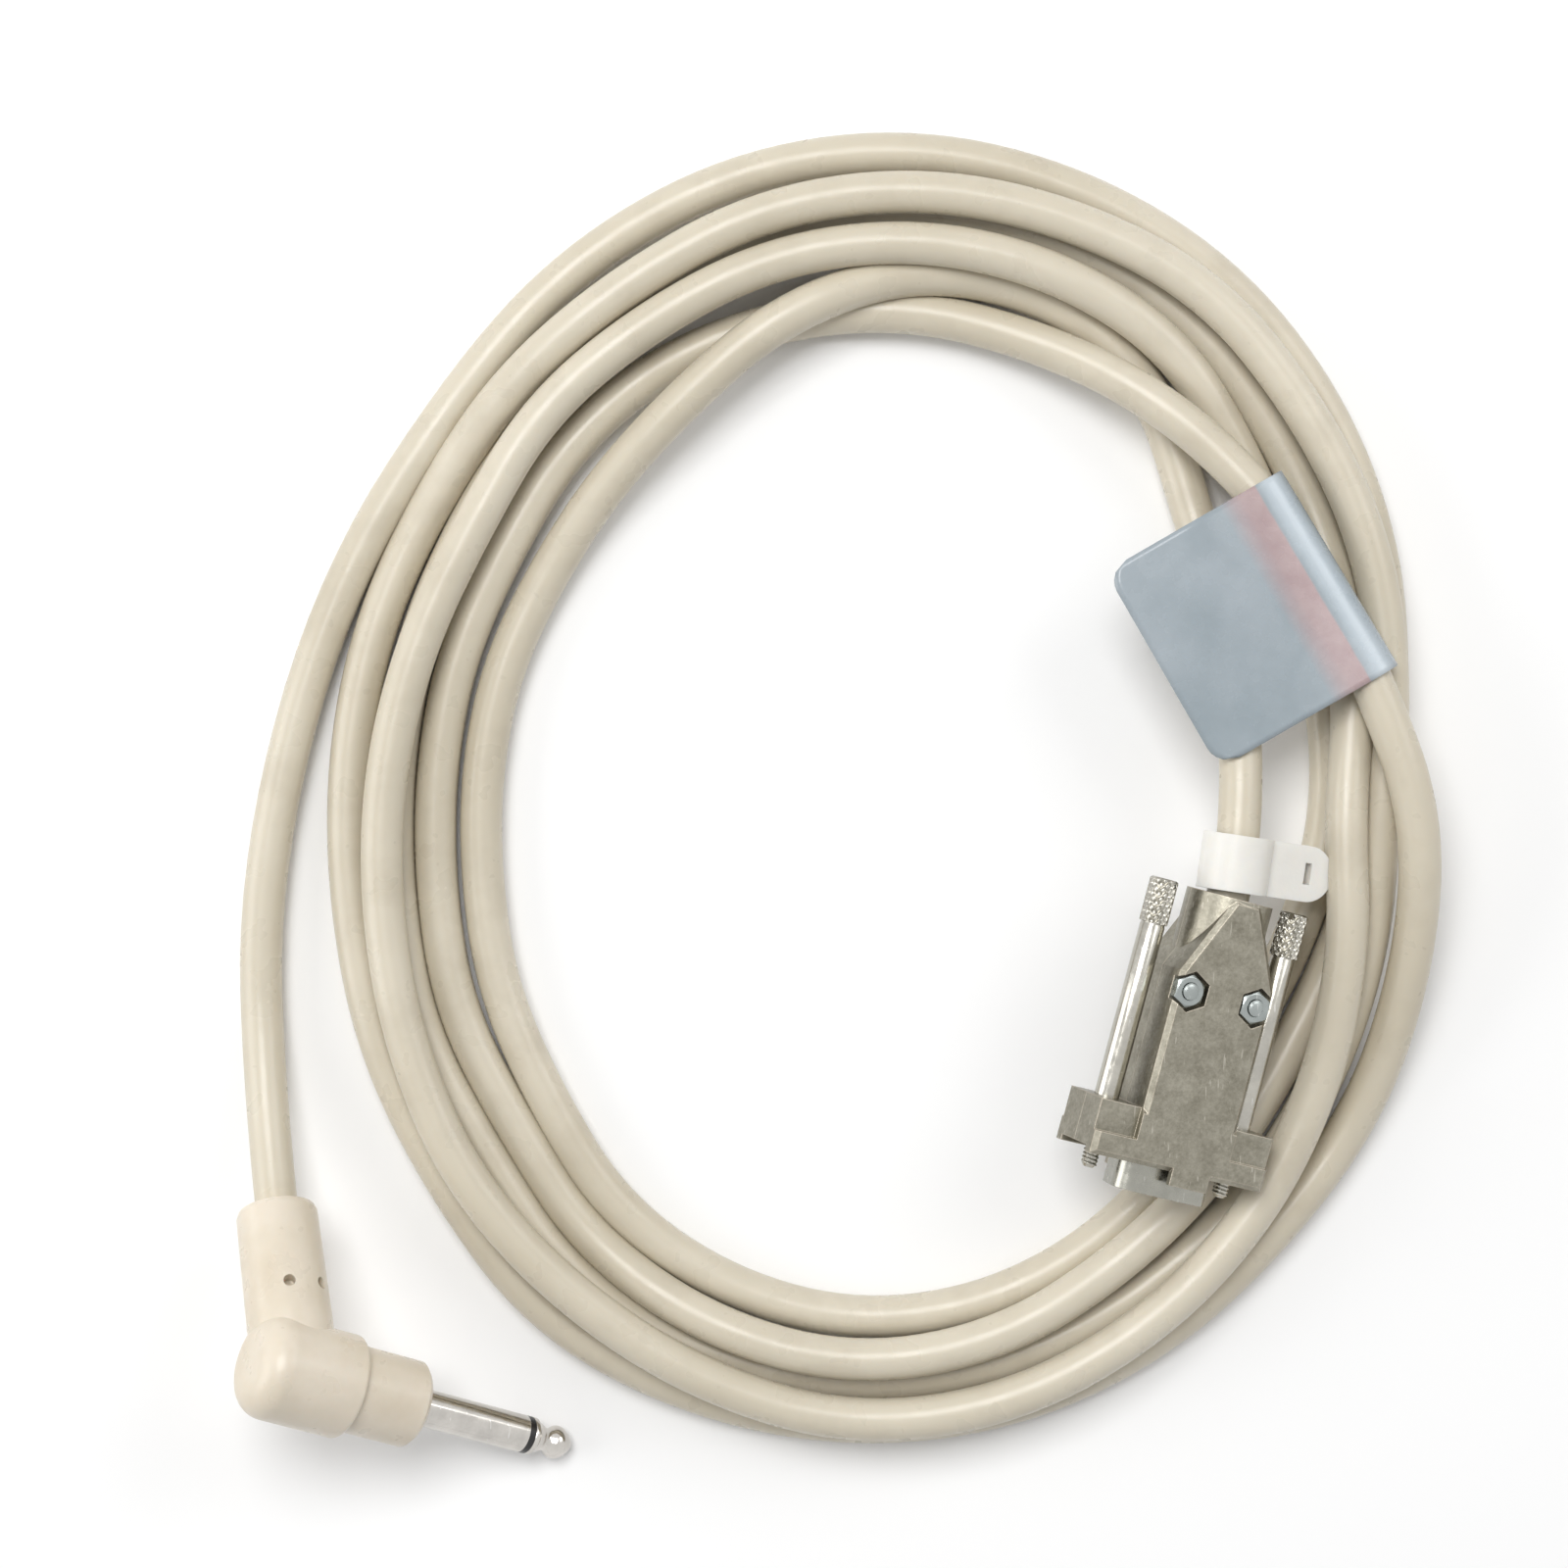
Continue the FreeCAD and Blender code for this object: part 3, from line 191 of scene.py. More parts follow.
class Finish:
    """A procedural material, built a node at a time around one shader."""

    def __init__(self, name, colour, roughness, metallic=0.0):
        self.material = bpy.data.materials.new(name)
        self.material.use_nodes = True
        self.tree = self.material.node_tree
        self.shader = self.tree.nodes["Principled BSDF"]
        self.set("Base Color", colour)
        self.set("Roughness", roughness)
        self.set("Metallic", metallic)
        self.place = self.node("ShaderNodeTexCoord").outputs["Object"]

    def node(self, kind, **values):
        made = self.tree.nodes.new(kind)
        for key, value in values.items():
            setattr(made, key, value)
        return made

    def set(self, socket, value):
        self.shader.inputs[socket].default_value = value

    def join(self, output, into):
        self.tree.links.new(output, into)

    def feed(self, socket, output):
        self.join(output, self.shader.inputs[socket])

    def stretched(self, scale, turn):
        """The piece's coordinates, turned by degrees and scaled."""
        mapping = self.node("ShaderNodeMapping")
        mapping.inputs["Rotation"].default_value = [math.radians(part) for part in turn]
        mapping.inputs["Scale"].default_value = scale
        self.join(self.place, mapping.inputs["Vector"])
        return mapping.outputs["Vector"]

    def noise(self, scale, detail=3.0, rough=0.5, where=None):
        made = self.node("ShaderNodeTexNoise")
        made.inputs["Scale"].default_value = scale
        made.inputs["Detail"].default_value = detail
        made.inputs["Roughness"].default_value = rough
        self.join(where or self.place, made.inputs["Vector"])
        return made.outputs["Fac"]

    def ramp(self, source, *stops):
        """A value passed through stops, each a position with a grey level or a colour."""
        made = self.node("ShaderNodeValToRGB")
        steps = made.color_ramp.elements
        while len(steps) < len(stops):
            steps.new(0.5)
        for step, (at, colour) in zip(steps, stops):
            step.position = at
            step.color = colour if isinstance(colour, tuple) else (colour, colour, colour, 1.0)
        self.join(source, made.inputs["Fac"])
        return made.outputs["Color"]

    def mix(self, factor, first, second):
        made = self.node("ShaderNodeMix", data_type="RGBA")
        for value, socket in ((factor, 0), (first, 6), (second, 7)):
            if isinstance(value, (tuple, float)):
                made.inputs[socket].default_value = value
            else:
                self.join(value, made.inputs[socket])
        return made.outputs[2]

    def sums(self, operation, first, second):
        made = self.node("ShaderNodeMath", operation=operation)
        for value, socket in ((first, 0), (second, 1)):
            if isinstance(value, float):
                made.inputs[socket].default_value = value
            else:
                self.join(value, made.inputs[socket])
        return made.outputs[0]

    def bump(self, height, depth, below=None):
        """A surface normal with this relief, its depth in millimetres, on top of another."""
        made = self.node("ShaderNodeBump")
        made.inputs["Distance"].default_value = depth * MM
        self.join(height, made.inputs["Height"])
        if below:
            self.join(below, made.inputs["Normal"])
        return made.outputs["Normal"]

    def rounded(self, radius):
        """A surface normal with the edges broken by a radius in millimetres."""
        made = self.node("ShaderNodeBevel", samples=6)
        made.inputs["Radius"].default_value = radius * MM
        return made.outputs["Normal"]

    def edges(self, radius):
        """About 1 on the edges of a piece and 0 on its faces."""
        flat = self.node("ShaderNodeNewGeometry").outputs["Normal"]
        dot = self.node("ShaderNodeVectorMath", operation="DOT_PRODUCT")
        self.join(self.rounded(radius), dot.inputs[0])
        self.join(flat, dot.inputs[1])
        return self.ramp(dot.outputs["Value"], (0.90, 1.0), (0.995, 0.0))


def scratches(finish, scale, turns):
    """Fine scratches in a few directions: 1 in a scratch, 0 elsewhere."""
    total = None
    for turn in turns:
        where = finish.stretched((scale, scale * 0.12, scale), (0, 0, turn))
        line = finish.noise(1.0, 2.0, 0.55, where)
        mark = finish.ramp(line, (0.70, 0.0), (0.73, 1.0))
        total = mark if total is None else finish.sums("MAXIMUM", total, mark)
    return total


def cord_finish():
    """Cream vinyl jacket, slightly soiled."""
    made = Finish("cord_jacket", srgb(205, 197, 178), 0.30)
    tone = made.ramp(made.noise(22, 4), (0.3, srgb(197, 188, 168)), (0.7, srgb(212, 204, 186)))
    grime = made.ramp(made.noise(75, 4, 0.6), (0.50, 0.0), (0.75, 0.40))
    made.feed("Base Color", made.mix(grime, tone, srgb(181, 171, 151)))
    made.feed("Roughness", made.ramp(made.noise(210, 2), (0.3, 0.25), (0.7, 0.36)))
    fine = made.bump(made.noise(900, 2), 0.006)
    made.feed("Normal", made.bump(made.noise(170, 2), 0.10, fine))
    made.set("Subsurface Weight", 0.12)
    made.set("Subsurface Radius", (0.0015, 0.0010, 0.0006))
    made.set("Subsurface Scale", 1.0)
    made.set("Specular IOR Level", 0.5)
    return made.material


def hood_finish():
    """Die-cast metal: cloudy, scratched, and rubbed bright on its edges."""
    made = Finish("hood_casting", srgb(146, 142, 129), 0.36, 1.0)
    cloudy = made.mix(0.5, made.noise(1500, 5, 0.75), made.noise(300, 5, 0.65))
    tone = made.ramp(cloudy, (0.36, srgb(124, 120, 107)), (0.64, srgb(160, 156, 143)))
    worn = made.edges(0.35)
    marks = scratches(made, 1500, (12, 74, -38))
    tone = made.mix(made.sums("MULTIPLY", marks, 0.40), tone, srgb(205, 200, 188))
    made.feed("Base Color", made.mix(made.sums("MULTIPLY", worn, 0.5), tone, srgb(204, 192, 176)))
    made.feed("Roughness", made.ramp(made.noise(700, 4), (0.3, 0.30), (0.7, 0.44)))
    normal = made.rounded(0.25)
    normal = made.bump(made.noise(2600, 3, 0.6), 0.03, normal)
    normal = made.bump(made.noise(190, 3), 0.12, normal)
    made.feed("Normal", made.bump(made.sums("SUBTRACT", 1.0, marks), 0.015, normal))
    return made.material


def metal_finish(name, colour, rough, wavy=0.0, soft=0.12):
    """Plated metal: its colour drifts, it has fine scratches and its edges are broken."""
    made = Finish(name, colour, rough, 1.0)
    dark = tuple(part * 0.80 for part in colour[:3]) + (1.0,)
    tone = made.ramp(made.noise(240, 5, 0.6), (0.32, dark), (0.68, colour))
    marks = scratches(made, 1600, (25, -60))
    made.feed("Base Color", made.mix(made.sums("MULTIPLY", marks, 0.3), tone, (0.9, 0.9, 0.88, 1)))
    low = max(rough - 0.07, 0.04)
    made.feed("Roughness", made.ramp(made.noise(800, 4), (0.3, low), (0.7, rough + 0.09)))
    normal = made.rounded(soft)
    if wavy:
        normal = made.bump(made.noise(210, 2), wavy, normal)
    made.feed("Normal", made.bump(marks, 0.006, normal))
    return made.material


def plastic_finish(name, colour, rough, grain=0.015, drift=0.9, glow=0.0):
    """Moulded plastic: an even colour with a slight drift and a fine skin."""
    made = Finish(name, colour, rough)
    dark = tuple(part * drift for part in colour[:3]) + (1.0,)
    tone = made.ramp(made.noise(150, 4, 0.6), (0.3, dark), (0.7, colour))
    made.feed("Base Color", tone)
    low = max(rough - 0.06, 0.05)
    made.feed("Roughness", made.ramp(made.noise(500, 4), (0.3, low), (0.7, rough + 0.08)))
    normal = made.bump(made.noise(1900, 3, 0.6), grain, made.rounded(0.12))
    made.feed("Normal", made.bump(made.noise(230, 2), grain * 3, normal))
    if glow:
        made.set("Subsurface Weight", glow)
        made.set("Subsurface Radius", (0.0020, 0.0016, 0.0012))
        made.set("Subsurface Scale", 1.0)
    return made.material


def plug_finish():
    """The plug's cream moulding."""
    made = Finish("plug_cream", srgb(218, 208, 190), 0.30)
    tone = made.ramp(made.noise(60, 4, 0.6), (0.3, srgb(211, 200, 180)), (0.7, srgb(225, 215, 199)))
    grime = made.ramp(made.noise(110, 4, 0.6), (0.52, 0.0), (0.75, 0.30))
    made.feed("Base Color", made.mix(grime, tone, srgb(203, 188, 166)))
    made.feed("Roughness", made.ramp(made.noise(260, 2), (0.3, 0.26), (0.7, 0.35)))
    normal = made.bump(made.noise(1000, 2), 0.005, made.rounded(0.2))
    made.feed("Normal", made.bump(made.noise(170, 2), 0.09, normal))
    made.set("Subsurface Weight", 0.18)
    made.set("Subsurface Radius", (0.0022, 0.0015, 0.0010))
    made.set("Subsurface Scale", 1.0)
    return made.material


def label_finish():
    """Bare vinyl with a red band along the fold and a painted highlight on the fold's curve, by the sheet's own
    measure.
    """
    made = Finish("label_vinyl", srgb(168, 176, 181), 0.24)
    uv = made.node("ShaderNodeUVMap", uv_map="sheet").outputs["UV"]
    split = made.node("ShaderNodeSeparateXYZ")
    made.join(uv, split.inputs[0])
    waver = made.sums("MULTIPLY", made.noise(300, 2), 0.010)
    inward = made.sums("ADD", split.outputs["X"], waver)
    band = made.ramp(
        inward, (0.166, 0.0), (0.176, 0.85), (0.26, 0.8), (0.31, 0.55), (0.375, 0.0),
    )
    base = made.ramp(made.noise(80, 4), (0.3, srgb(143, 154, 160)), (0.7, srgb(162, 171, 177)))
    red = made.ramp(made.noise(260, 4), (0.3, srgb(172, 142, 142)), (0.7, srgb(186, 160, 158)))
    # Painted highlight: a pale strip on the fold's curve that stands in for the light the fold catches.
    fold_painted_highlight = made.ramp(inward, (0.03, 0.0), (0.085, 0.75), (0.125, 0.55), (0.162, 0.0))
    sheet = made.mix(band, base, red)
    made.feed("Base Color", made.mix(fold_painted_highlight, sheet, srgb(208, 218, 225)))
    made.feed("Roughness", made.ramp(made.noise(350, 4), (0.3, 0.20), (0.7, 0.32)))
    made.feed("Normal", made.bump(made.noise(120, 3), 0.12))
    made.set("Specular IOR Level", 0.55)
    made.set("Subsurface Weight", 0.05)
    return made.material


FINISHES = {
    "cord_jacket": cord_finish(),
    "hood_casting": hood_finish(),
    "shell_plate": metal_finish("shell_plate", srgb(168, 167, 158), 0.24, 0.05, 0.15),
    "screw_nickel": metal_finish("screw_nickel", srgb(190, 187, 178), 0.20, 0.0, 0.08),
    "screw_zinc": metal_finish("screw_zinc", srgb(166, 172, 170), 0.28, 0.03, 0.15),
    "contact_gold": metal_finish("contact_gold", srgb(226, 188, 112), 0.18),
    "plug_metal": metal_finish("plug_metal", srgb(208, 204, 198), 0.13, 0.0, 0.12),
    "wire_tinned": metal_finish("wire_tinned", srgb(200, 202, 204), 0.30, 0.0, 0.05),
    "insulator": plastic_finish("insulator", srgb(32, 32, 35), 0.42),
    "nylon": plastic_finish("nylon", srgb(232, 230, 224), 0.36, 0.02, 0.95, 0.35),
    "ring_black": plastic_finish("ring_black", srgb(26, 25, 25), 0.30),
    "wire_red": plastic_finish("wire_red", srgb(178, 44, 38), 0.40),
    "plug_cream": plug_finish(),
    "label_vinyl": label_finish(),
}


# ---------------------------------------------------------------- label

# Millimetres: the fold's ends, the flap's width, the sheet's thickness and corner radius, the
# loop round the strand, and the height where the flap lies on the strands beneath.
LABEL_FROM = Vector((83.4, 114.3, 0))
LABEL_TO = Vector((102.3, 81.6, 0))
LABEL_WIDE = 34.9
LABEL_LAYER = 0.14
LABEL_CORNER = 4.0
LOOP_WIDE = 4.9
LOOP_HIGH = 4.25
REST = 21.05
HALF_GAP = 0.10
TOP_SLOPE = 15.0
BOTTOM_SLOPE = 7.5
STRAND_LOWEST = 12.5
STRAND_NEAR = 12.0
along = (LABEL_TO - LABEL_FROM).normalized()
inward = Vector((along.y, -along.x, 0))


def strand_at(station):
    """Where the wrapped strand crosses a plane square to the fold: inset and height."""
    best = None
    for place in ROUTE:
        point = place / MM
        if point.z < STRAND_LOWEST:
            continue
        gap = point - station
        inset = gap.dot(inward)
        if abs(inset) > STRAND_NEAR:
            continue
        off = abs(gap.dot(along))
        if best is None or off < best[0]:
            best = (off, inset, point.z)
    return best[1], best[2]


def eased(part):
    """A share from 0 to 1 with a soft start and end."""
    part = min(max(part, 0.0), 1.0)
    return part * part * (3 - 2 * part)


def label_section(fold, height, short):
    """The folded strip in section: inset and height from top sheet to bottom sheet.

    fold is the inset of the fold's outer side, short how far the corner is rounded back.
    """
    middle = fold + LOOP_WIDE
    crest = height + LOOP_HIGH
    end = LABEL_WIDE - short
    points = []
    for step in range(25):
        side = middle + (end - middle) * (1 - step / 24)
        upper = crest + (REST - crest) * eased((side - middle) / TOP_SLOPE)
        points.append((side, upper + HALF_GAP))
    for step in range(1, 22):
        angle = math.radians(90 + step * 10)
        side = middle + LOOP_WIDE * math.cos(angle)
        points.append((side, height + LOOP_HIGH * math.sin(angle) + HALF_GAP))
    low_side, low_high = points[-1]
    for step in range(1, 25):
        side = low_side + (end - low_side) * step / 24
        upper = crest + (REST - crest) * eased((side - middle) / TOP_SLOPE) - HALF_GAP
        share = eased((side - low_side) / BOTTOM_SLOPE)
        points.append((side, low_high + (upper - low_high) * share))
    return points


def label_mesh():
    """The flag: one strip laid round the strand and stuck back on itself."""
    mesh = bpy.data.meshes.new("label")
    work = bmesh.new()
    layer = work.loops.layers.uv.new("sheet")
    stations = 41
    found = []
    for index in range(stations):
        station = LABEL_FROM.lerp(LABEL_TO, index / (stations - 1))
        found.append((station, *strand_at(station)))
    fold = min(inset for _, inset, _ in found) - CORD_RADIUS - 0.35
    start = found[0][2]
    finish = found[-1][2]
    wide = (LABEL_TO - LABEL_FROM).length
    rows = []
    for index, (station, _, _) in enumerate(found):
        part = index / (stations - 1)
        edge = min(part, 1 - part) * wide
        short = LABEL_CORNER - math.sqrt(max(LABEL_CORNER ** 2 - max(LABEL_CORNER - edge, 0) ** 2, 0))
        row = []
        # The flap's free side waves and curls up a little.
        for side, high in label_section(fold, start + (finish - start) * part, short):
            share = max(side - 6.0, 0) / LABEL_WIDE
            lift = 0.25 * math.sin(part * 5.1 + 0.6) * share + 0.5 * share * share
            spot = station + inward * side
            vertex = work.verts.new((spot.x * MM, spot.y * MM, (high + lift) * MM))
            row.append((vertex, (side - fold) / LABEL_WIDE, part))
        rows.append(row)
    for first, second in zip(rows, rows[1:]):
        for step in range(len(first) - 1):
            corners = (first[step], first[step + 1], second[step + 1], second[step])
            face = work.faces.new([corner[0] for corner in corners])
            face.smooth = True
            for loop, corner in zip(face.loops, corners):
                loop[layer].uv = (corner[1], corner[2])
    bmesh.ops.recalc_face_normals(work, faces=work.faces)
    work.to_mesh(mesh)
    work.free()
    return mesh


label = add("label", label_mesh())
thick = label.modifiers.new("thickness", "SOLIDIFY")
thick.thickness = LABEL_LAYER * MM
thick.offset = 0
label.data.materials.append(FINISHES["label_vinyl"])
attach(label, "cable")
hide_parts("label_flag")


# ---------------------------------------------------------------- thumbscrews

KNURLS = 12
KNURL_DEEP = 0.34
THREAD_PITCH = 0.635
THREAD_DEEP = 0.22
ROUND = KNURLS * 16

# How far the thumbscrew joints' places lie behind the connector's origin, in metres.
JOINT_BACK = 0.020


def screw_profile():
    """The screw's outline from tip to grip: place along it, radius and kind."""
    rows = [(4.0, 0.85, "plain"), (3.6, 1.16, "plain")]
    place = 3.55
    while place > 0.12:
        rows.append((place, 1.42, "thread"))
        place -= 0.06
    rows += [(0.1, 1.2, "plain"), (-4.1, 1.2, "plain"), (-4.2, 1.25, "plain")]
    rows += [(-4.2, 2.0, "plain"), (-4.3, 2.1, "plain"), (-4.82, 2.1, "plain")]
    rows += [(-4.84, 1.64, "plain"), (-5.76, 1.64, "plain"), (-5.78, 2.1, "plain")]
    rows += [(-20.0, 2.1, "plain"), (-37.2, 2.1, "plain"), (-37.35, 2.02, "plain")]
    rows += [(-37.6, 2.02, "plain"), (-37.62, 2.22, "plain")]
    place = -37.75
    while place > -44.9:
        rows.append((place, 2.4, "knurl"))
        place -= 0.105
    rows += [(-44.95, 2.36, "plain"), (-45.12, 2.2, "plain"), (-45.2, 2.0, "plain")]
    return rows


def screw_radius(kind, radius, place, angle):
    """Radius at a spot: a cut thread at the tip, crossed grooves on the grip."""
    if kind == "thread":
        turn = (place / THREAD_PITCH + angle / (2 * math.pi)) % 1.0
        return radius - THREAD_DEEP * abs(2 * turn - 1)
    if kind == "knurl":
        lead = 2 * math.pi / KNURLS
        slant = place / (lead * radius) * 0.8
        first = abs((angle / lead + slant) % 1.0 * 2 - 1)
        second = abs((angle / lead - slant) % 1.0 * 2 - 1)
        return radius - KNURL_DEEP * max(max(first, second) - 0.5, 0) / 0.5
    return radius


def screw_mesh(name, matrix, turn):
    """A turned screw with its thread, grip and driver slot, in the connector's frame."""
    mesh = bpy.data.meshes.new(name)
    work = bmesh.new()
    rings = []
    for place, radius, kind in screw_profile():
        ring = []
        for step in range(ROUND):
            angle = 2 * math.pi * step / ROUND
            size = screw_radius(kind, radius, place, angle)
            ring.append(work.verts.new((size * math.cos(angle), size * math.sin(angle), place)))
        rings.append(ring)
    for first, second in zip(rings, rings[1:]):
        for step in range(ROUND):
            after = (step + 1) % ROUND
            work.faces.new((first[step], second[step], second[after], first[after]))
    work.faces.new(rings[0])
    work.faces.new(list(reversed(rings[-1])))
    bmesh.ops.recalc_face_normals(work, faces=work.faces)
    work.to_mesh(mesh)
    work.free()
    piece = add(name, mesh)

    tool_mesh = bpy.data.meshes.new("driver_slot")
    tool_work = bmesh.new()
    bmesh.ops.create_cube(tool_work, size=1.0)
    bmesh.ops.scale(tool_work, vec=(6.0, 0.75, 2.4), verts=tool_work.verts)
    bmesh.ops.rotate(
        tool_work, cent=(0, 0, 0), matrix=Matrix.Rotation(turn, 3, "Z"), verts=tool_work.verts,
    )
    bmesh.ops.translate(tool_work, vec=(0, 0, -45.2), verts=tool_work.verts)
    tool_work.to_mesh(tool_mesh)
    tool_work.free()
    tool = add("driver_slot", tool_mesh)
    cut = piece.modifiers.new("slot", "BOOLEAN")
    cut.operation = "DIFFERENCE"
    cut.solver = "EXACT"
    cut.object = tool
    graph = bpy.context.evaluated_depsgraph_get()
    done = bpy.data.meshes.new_from_object(piece.evaluated_get(graph))
    piece.modifiers.clear()
    piece.data = done
    bpy.data.objects.remove(tool)
    done.transform(matrix)
    for face in done.polygons:
        face.use_smooth = True
    done.set_sharp_from_angle(angle=math.radians(32))
    return piece


def screw_frame(joint):
    """The frame of one screw: its axis as Z, in metres, from the joint's place."""
    axis = Vector(joint["axis"]).normalized()
    side = Vector((0, 0, 1)).cross(axis).normalized()
    other = axis.cross(side)
    turn = Matrix((side, other, axis)).transposed().to_4x4()
    start = Vector(joint["pos_m"]) + axis * JOINT_BACK
    return Matrix.Translation(start) @ turn @ Matrix.Scale(MM, 4)


for side, turn in (("left", 0.5), ("right", 1.9)):
    joint = next(item for item in frame["joints"] if item["name"] == f"{side}_thumbscrew_turn")
    screw = screw_mesh(f"{side}_screw", screw_frame(joint), turn)
    screw.data.materials.clear()
    screw.data.materials.append(FINISHES["screw_nickel"])
    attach(screw, f"{side}_thumbscrew")
    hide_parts(f"thumbscrew_{side}")


# ---------------------------------------------------------------- clamp nuts

# Millimetres: half the nut's flats, its face's and bore's radius, the screws' pitch and how far
# back they sit, and the screw's end above the nut's face as radius and height.
NUT_HALF = 2.5
NUT_FACE = 2.3
NUT_BORE = 1.5
CLAMP_PITCH = 12.4
CLAMP_BACK = 28.4
NUT_STEPS = 72
STUD = [(1.38, -0.5), (1.38, 0.10), (1.24, 0.30), (0.90, 0.46), (0.45, 0.53)]


def nut_outline(angle, low, high):
    """Radius and height, at one angle, from the nut's foot over its chamfer to the screw's end."""
    hexagon = NUT_HALF / math.cos((angle + math.pi / 6) % (math.pi / 3) - math.pi / 6)
    edge = high - 0.577 * max(0.0, hexagon - NUT_FACE)
    nut = [(hexagon, low), (hexagon, edge), (NUT_FACE, high), (NUT_BORE, high), (NUT_BORE, high - 0.5)]
    return nut + [(size, high + lift) for size, lift in STUD]


def nut_mesh():
    """Two hexagon nuts with chamfered corners, each with the domed end of its screw."""
    ends = {item["name"]: item for item in frame["joints"]}
    left, right = ends["left_thumbscrew_turn"], ends["right_thumbscrew_turn"]
    front = Vector(left["axis"]).normalized()
    across = (Vector(right["pos_m"]) - Vector(left["pos_m"])).normalized()
    up = front.cross(across).normalized()
    middle = (Vector(right["pos_m"]) + Vector(left["pos_m"])) / 2 + front * JOINT_BACK
    node = frame["nodes"]["hood_nuts"]
    heights = [(node.matrix_world @ corner.co - middle).dot(up) for corner in node.data.vertices]
    low, high = min(heights) / MM, max(heights) / MM
    mesh = bpy.data.meshes.new("nuts")
    work = bmesh.new()
    for sign in (-1, 1):
        centre = middle + (across * sign * CLAMP_PITCH / 2 - front * CLAMP_BACK) * MM
        rings = []
        for kind in range(5 + len(STUD)):
            ring = []
            for turn in range(NUT_STEPS):
                angle = 2 * math.pi * turn / NUT_STEPS
                size, lift = nut_outline(angle, low, high)[kind]
                spoke = across * math.cos(angle) + front * math.sin(angle)
                ring.append(work.verts.new(centre + (spoke * size + up * lift) * MM))
            rings.append(ring)
        for first, second in zip(rings, rings[1:]):
            for turn in range(NUT_STEPS):
                after = (turn + 1) % NUT_STEPS
                work.faces.new((first[turn], first[after], second[after], second[turn]))
        work.faces.new(rings[0])
        top = work.faces.new(rings[-1])
        top.smooth = True
    bmesh.ops.recalc_face_normals(work, faces=work.faces)
    work.to_mesh(mesh)
    work.free()
    return mesh


nuts = add("nuts", nut_mesh())
nuts.data.materials.append(FINISHES["screw_zinc"])
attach(nuts, "cable")
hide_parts("hood_nuts")


# ---------------------------------------------------------------- plug's tip

# The tip starts behind the ring, along the finger's axis, where FINGER_FROM is the mount's own
# place. The outline is place and radius in millimetres.
TIP_FROM = 44.4
FINGER_FROM = 33.5
TIP_LONG = 8.3
TIP_RINGS = 84
TIP_STEPS = 64
TIP_OUTLINE = [
    (0.0, 2.9), (0.12, 3.1), (0.3, 3.175), (0.75, 3.175), (0.95, 3.1), (1.1, 2.95), (2.0, 2.5),
    (2.9, 2.08), (3.3, 1.98), (3.6, 2.0), (4.1, 2.3), (4.6, 2.66), (5.1, 2.82), (5.4, 2.85),
    (5.8, 2.8), (6.4, 2.55), (7.0, 2.15), (7.6, 1.66), (8.0, 1.2), (8.25, 0.7), (8.3, 0.0),
]


def tip_mesh():
    """The tip contact: a turned piece with a waist behind its ball."""
    mount = next(item for item in frame["record"]["mounts"] if item["name"] == "phone_plug_finger")
    axis = Vector(mount["axis"]).normalized()
    start = Vector(mount["pos_m"]) + axis * (TIP_FROM - FINGER_FROM) * MM
    side = Vector((0, 0, 1)).cross(axis).normalized()
    other = axis.cross(side)
    mesh = bpy.data.meshes.new("tip")
    work = bmesh.new()
    places = [place for place, _ in TIP_OUTLINE]
    sizes = [size for _, size in TIP_OUTLINE]
    rings = []
    for step in range(TIP_RINGS):
        place = TIP_LONG * step / TIP_RINGS
        size = between(places, sizes, place)
        ring = []
        for turn in range(TIP_STEPS):
            angle = 2 * math.pi * turn / TIP_STEPS
            spoke = side * math.cos(angle) + other * math.sin(angle)
            ring.append(work.verts.new(start + (axis * place + spoke * size) * MM))
        rings.append(ring)
    for first, second in zip(rings, rings[1:]):
        for turn in range(TIP_STEPS):
            after = (turn + 1) % TIP_STEPS
            face = work.faces.new((first[turn], first[after], second[after], second[turn]))
            face.smooth = True
    work.faces.new(rings[0])
    point = work.verts.new(start + axis * TIP_LONG * MM)
    for turn in range(TIP_STEPS):
        face = work.faces.new((rings[-1][turn], rings[-1][(turn + 1) % TIP_STEPS], point))
        face.smooth = True
    bmesh.ops.recalc_face_normals(work, faces=work.faces)
    work.to_mesh(mesh)
    work.free()
    return mesh


tip = add("tip", tip_mesh())
tip.data.materials.append(FINISHES["plug_metal"])
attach(tip, "cable")
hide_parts("plug_tip")


# ---------------------------------------------------------------- finishes on the frame

NODE_FINISH = {
    "hood_upper_half": "hood_casting",
    "hood_lower_half": "hood_casting",
    "hood_screws": "screw_zinc",
    "front_shell": "shell_plate",
    "rear_shell": "shell_plate",
    "front_insulator": "insulator",
    "rear_insulator": "insulator",
    "contact_pins": "contact_gold",
    "retaining_ring_left": "screw_nickel",
    "retaining_ring_right": "screw_nickel",
    "nylon_cable_clamp": "nylon",
    "shield_ferrule": "shell_plate",
    "connector_signal_wire": "wire_red",
    "connector_drain_wire": "wire_tinned",
    "plug_overmould": "plug_cream",
    "plug_neck": "plug_cream",
    "plug_sleeve": "plug_metal",
    "insulating_ring": "ring_black",
    "rod_insulator": "ring_black",
    "tip_rod": "plug_metal",
    "tip_lug": "shell_plate",
    "ground_lug": "shell_plate",
    "plug_signal_wire": "wire_red",
    "plug_drain_wire": "wire_tinned",
}
for name, finish in NODE_FINISH.items():
    node = frame["nodes"][name]
    for slot in node.material_slots:
        slot.material = FINISHES[finish]

cord.data.materials.append(FINISHES["cord_jacket"])
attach(cord, "cable")
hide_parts("cord_coil", "cord_plug_tail", "cord_connector_tail")


# ---------------------------------------------------------------- floor and light

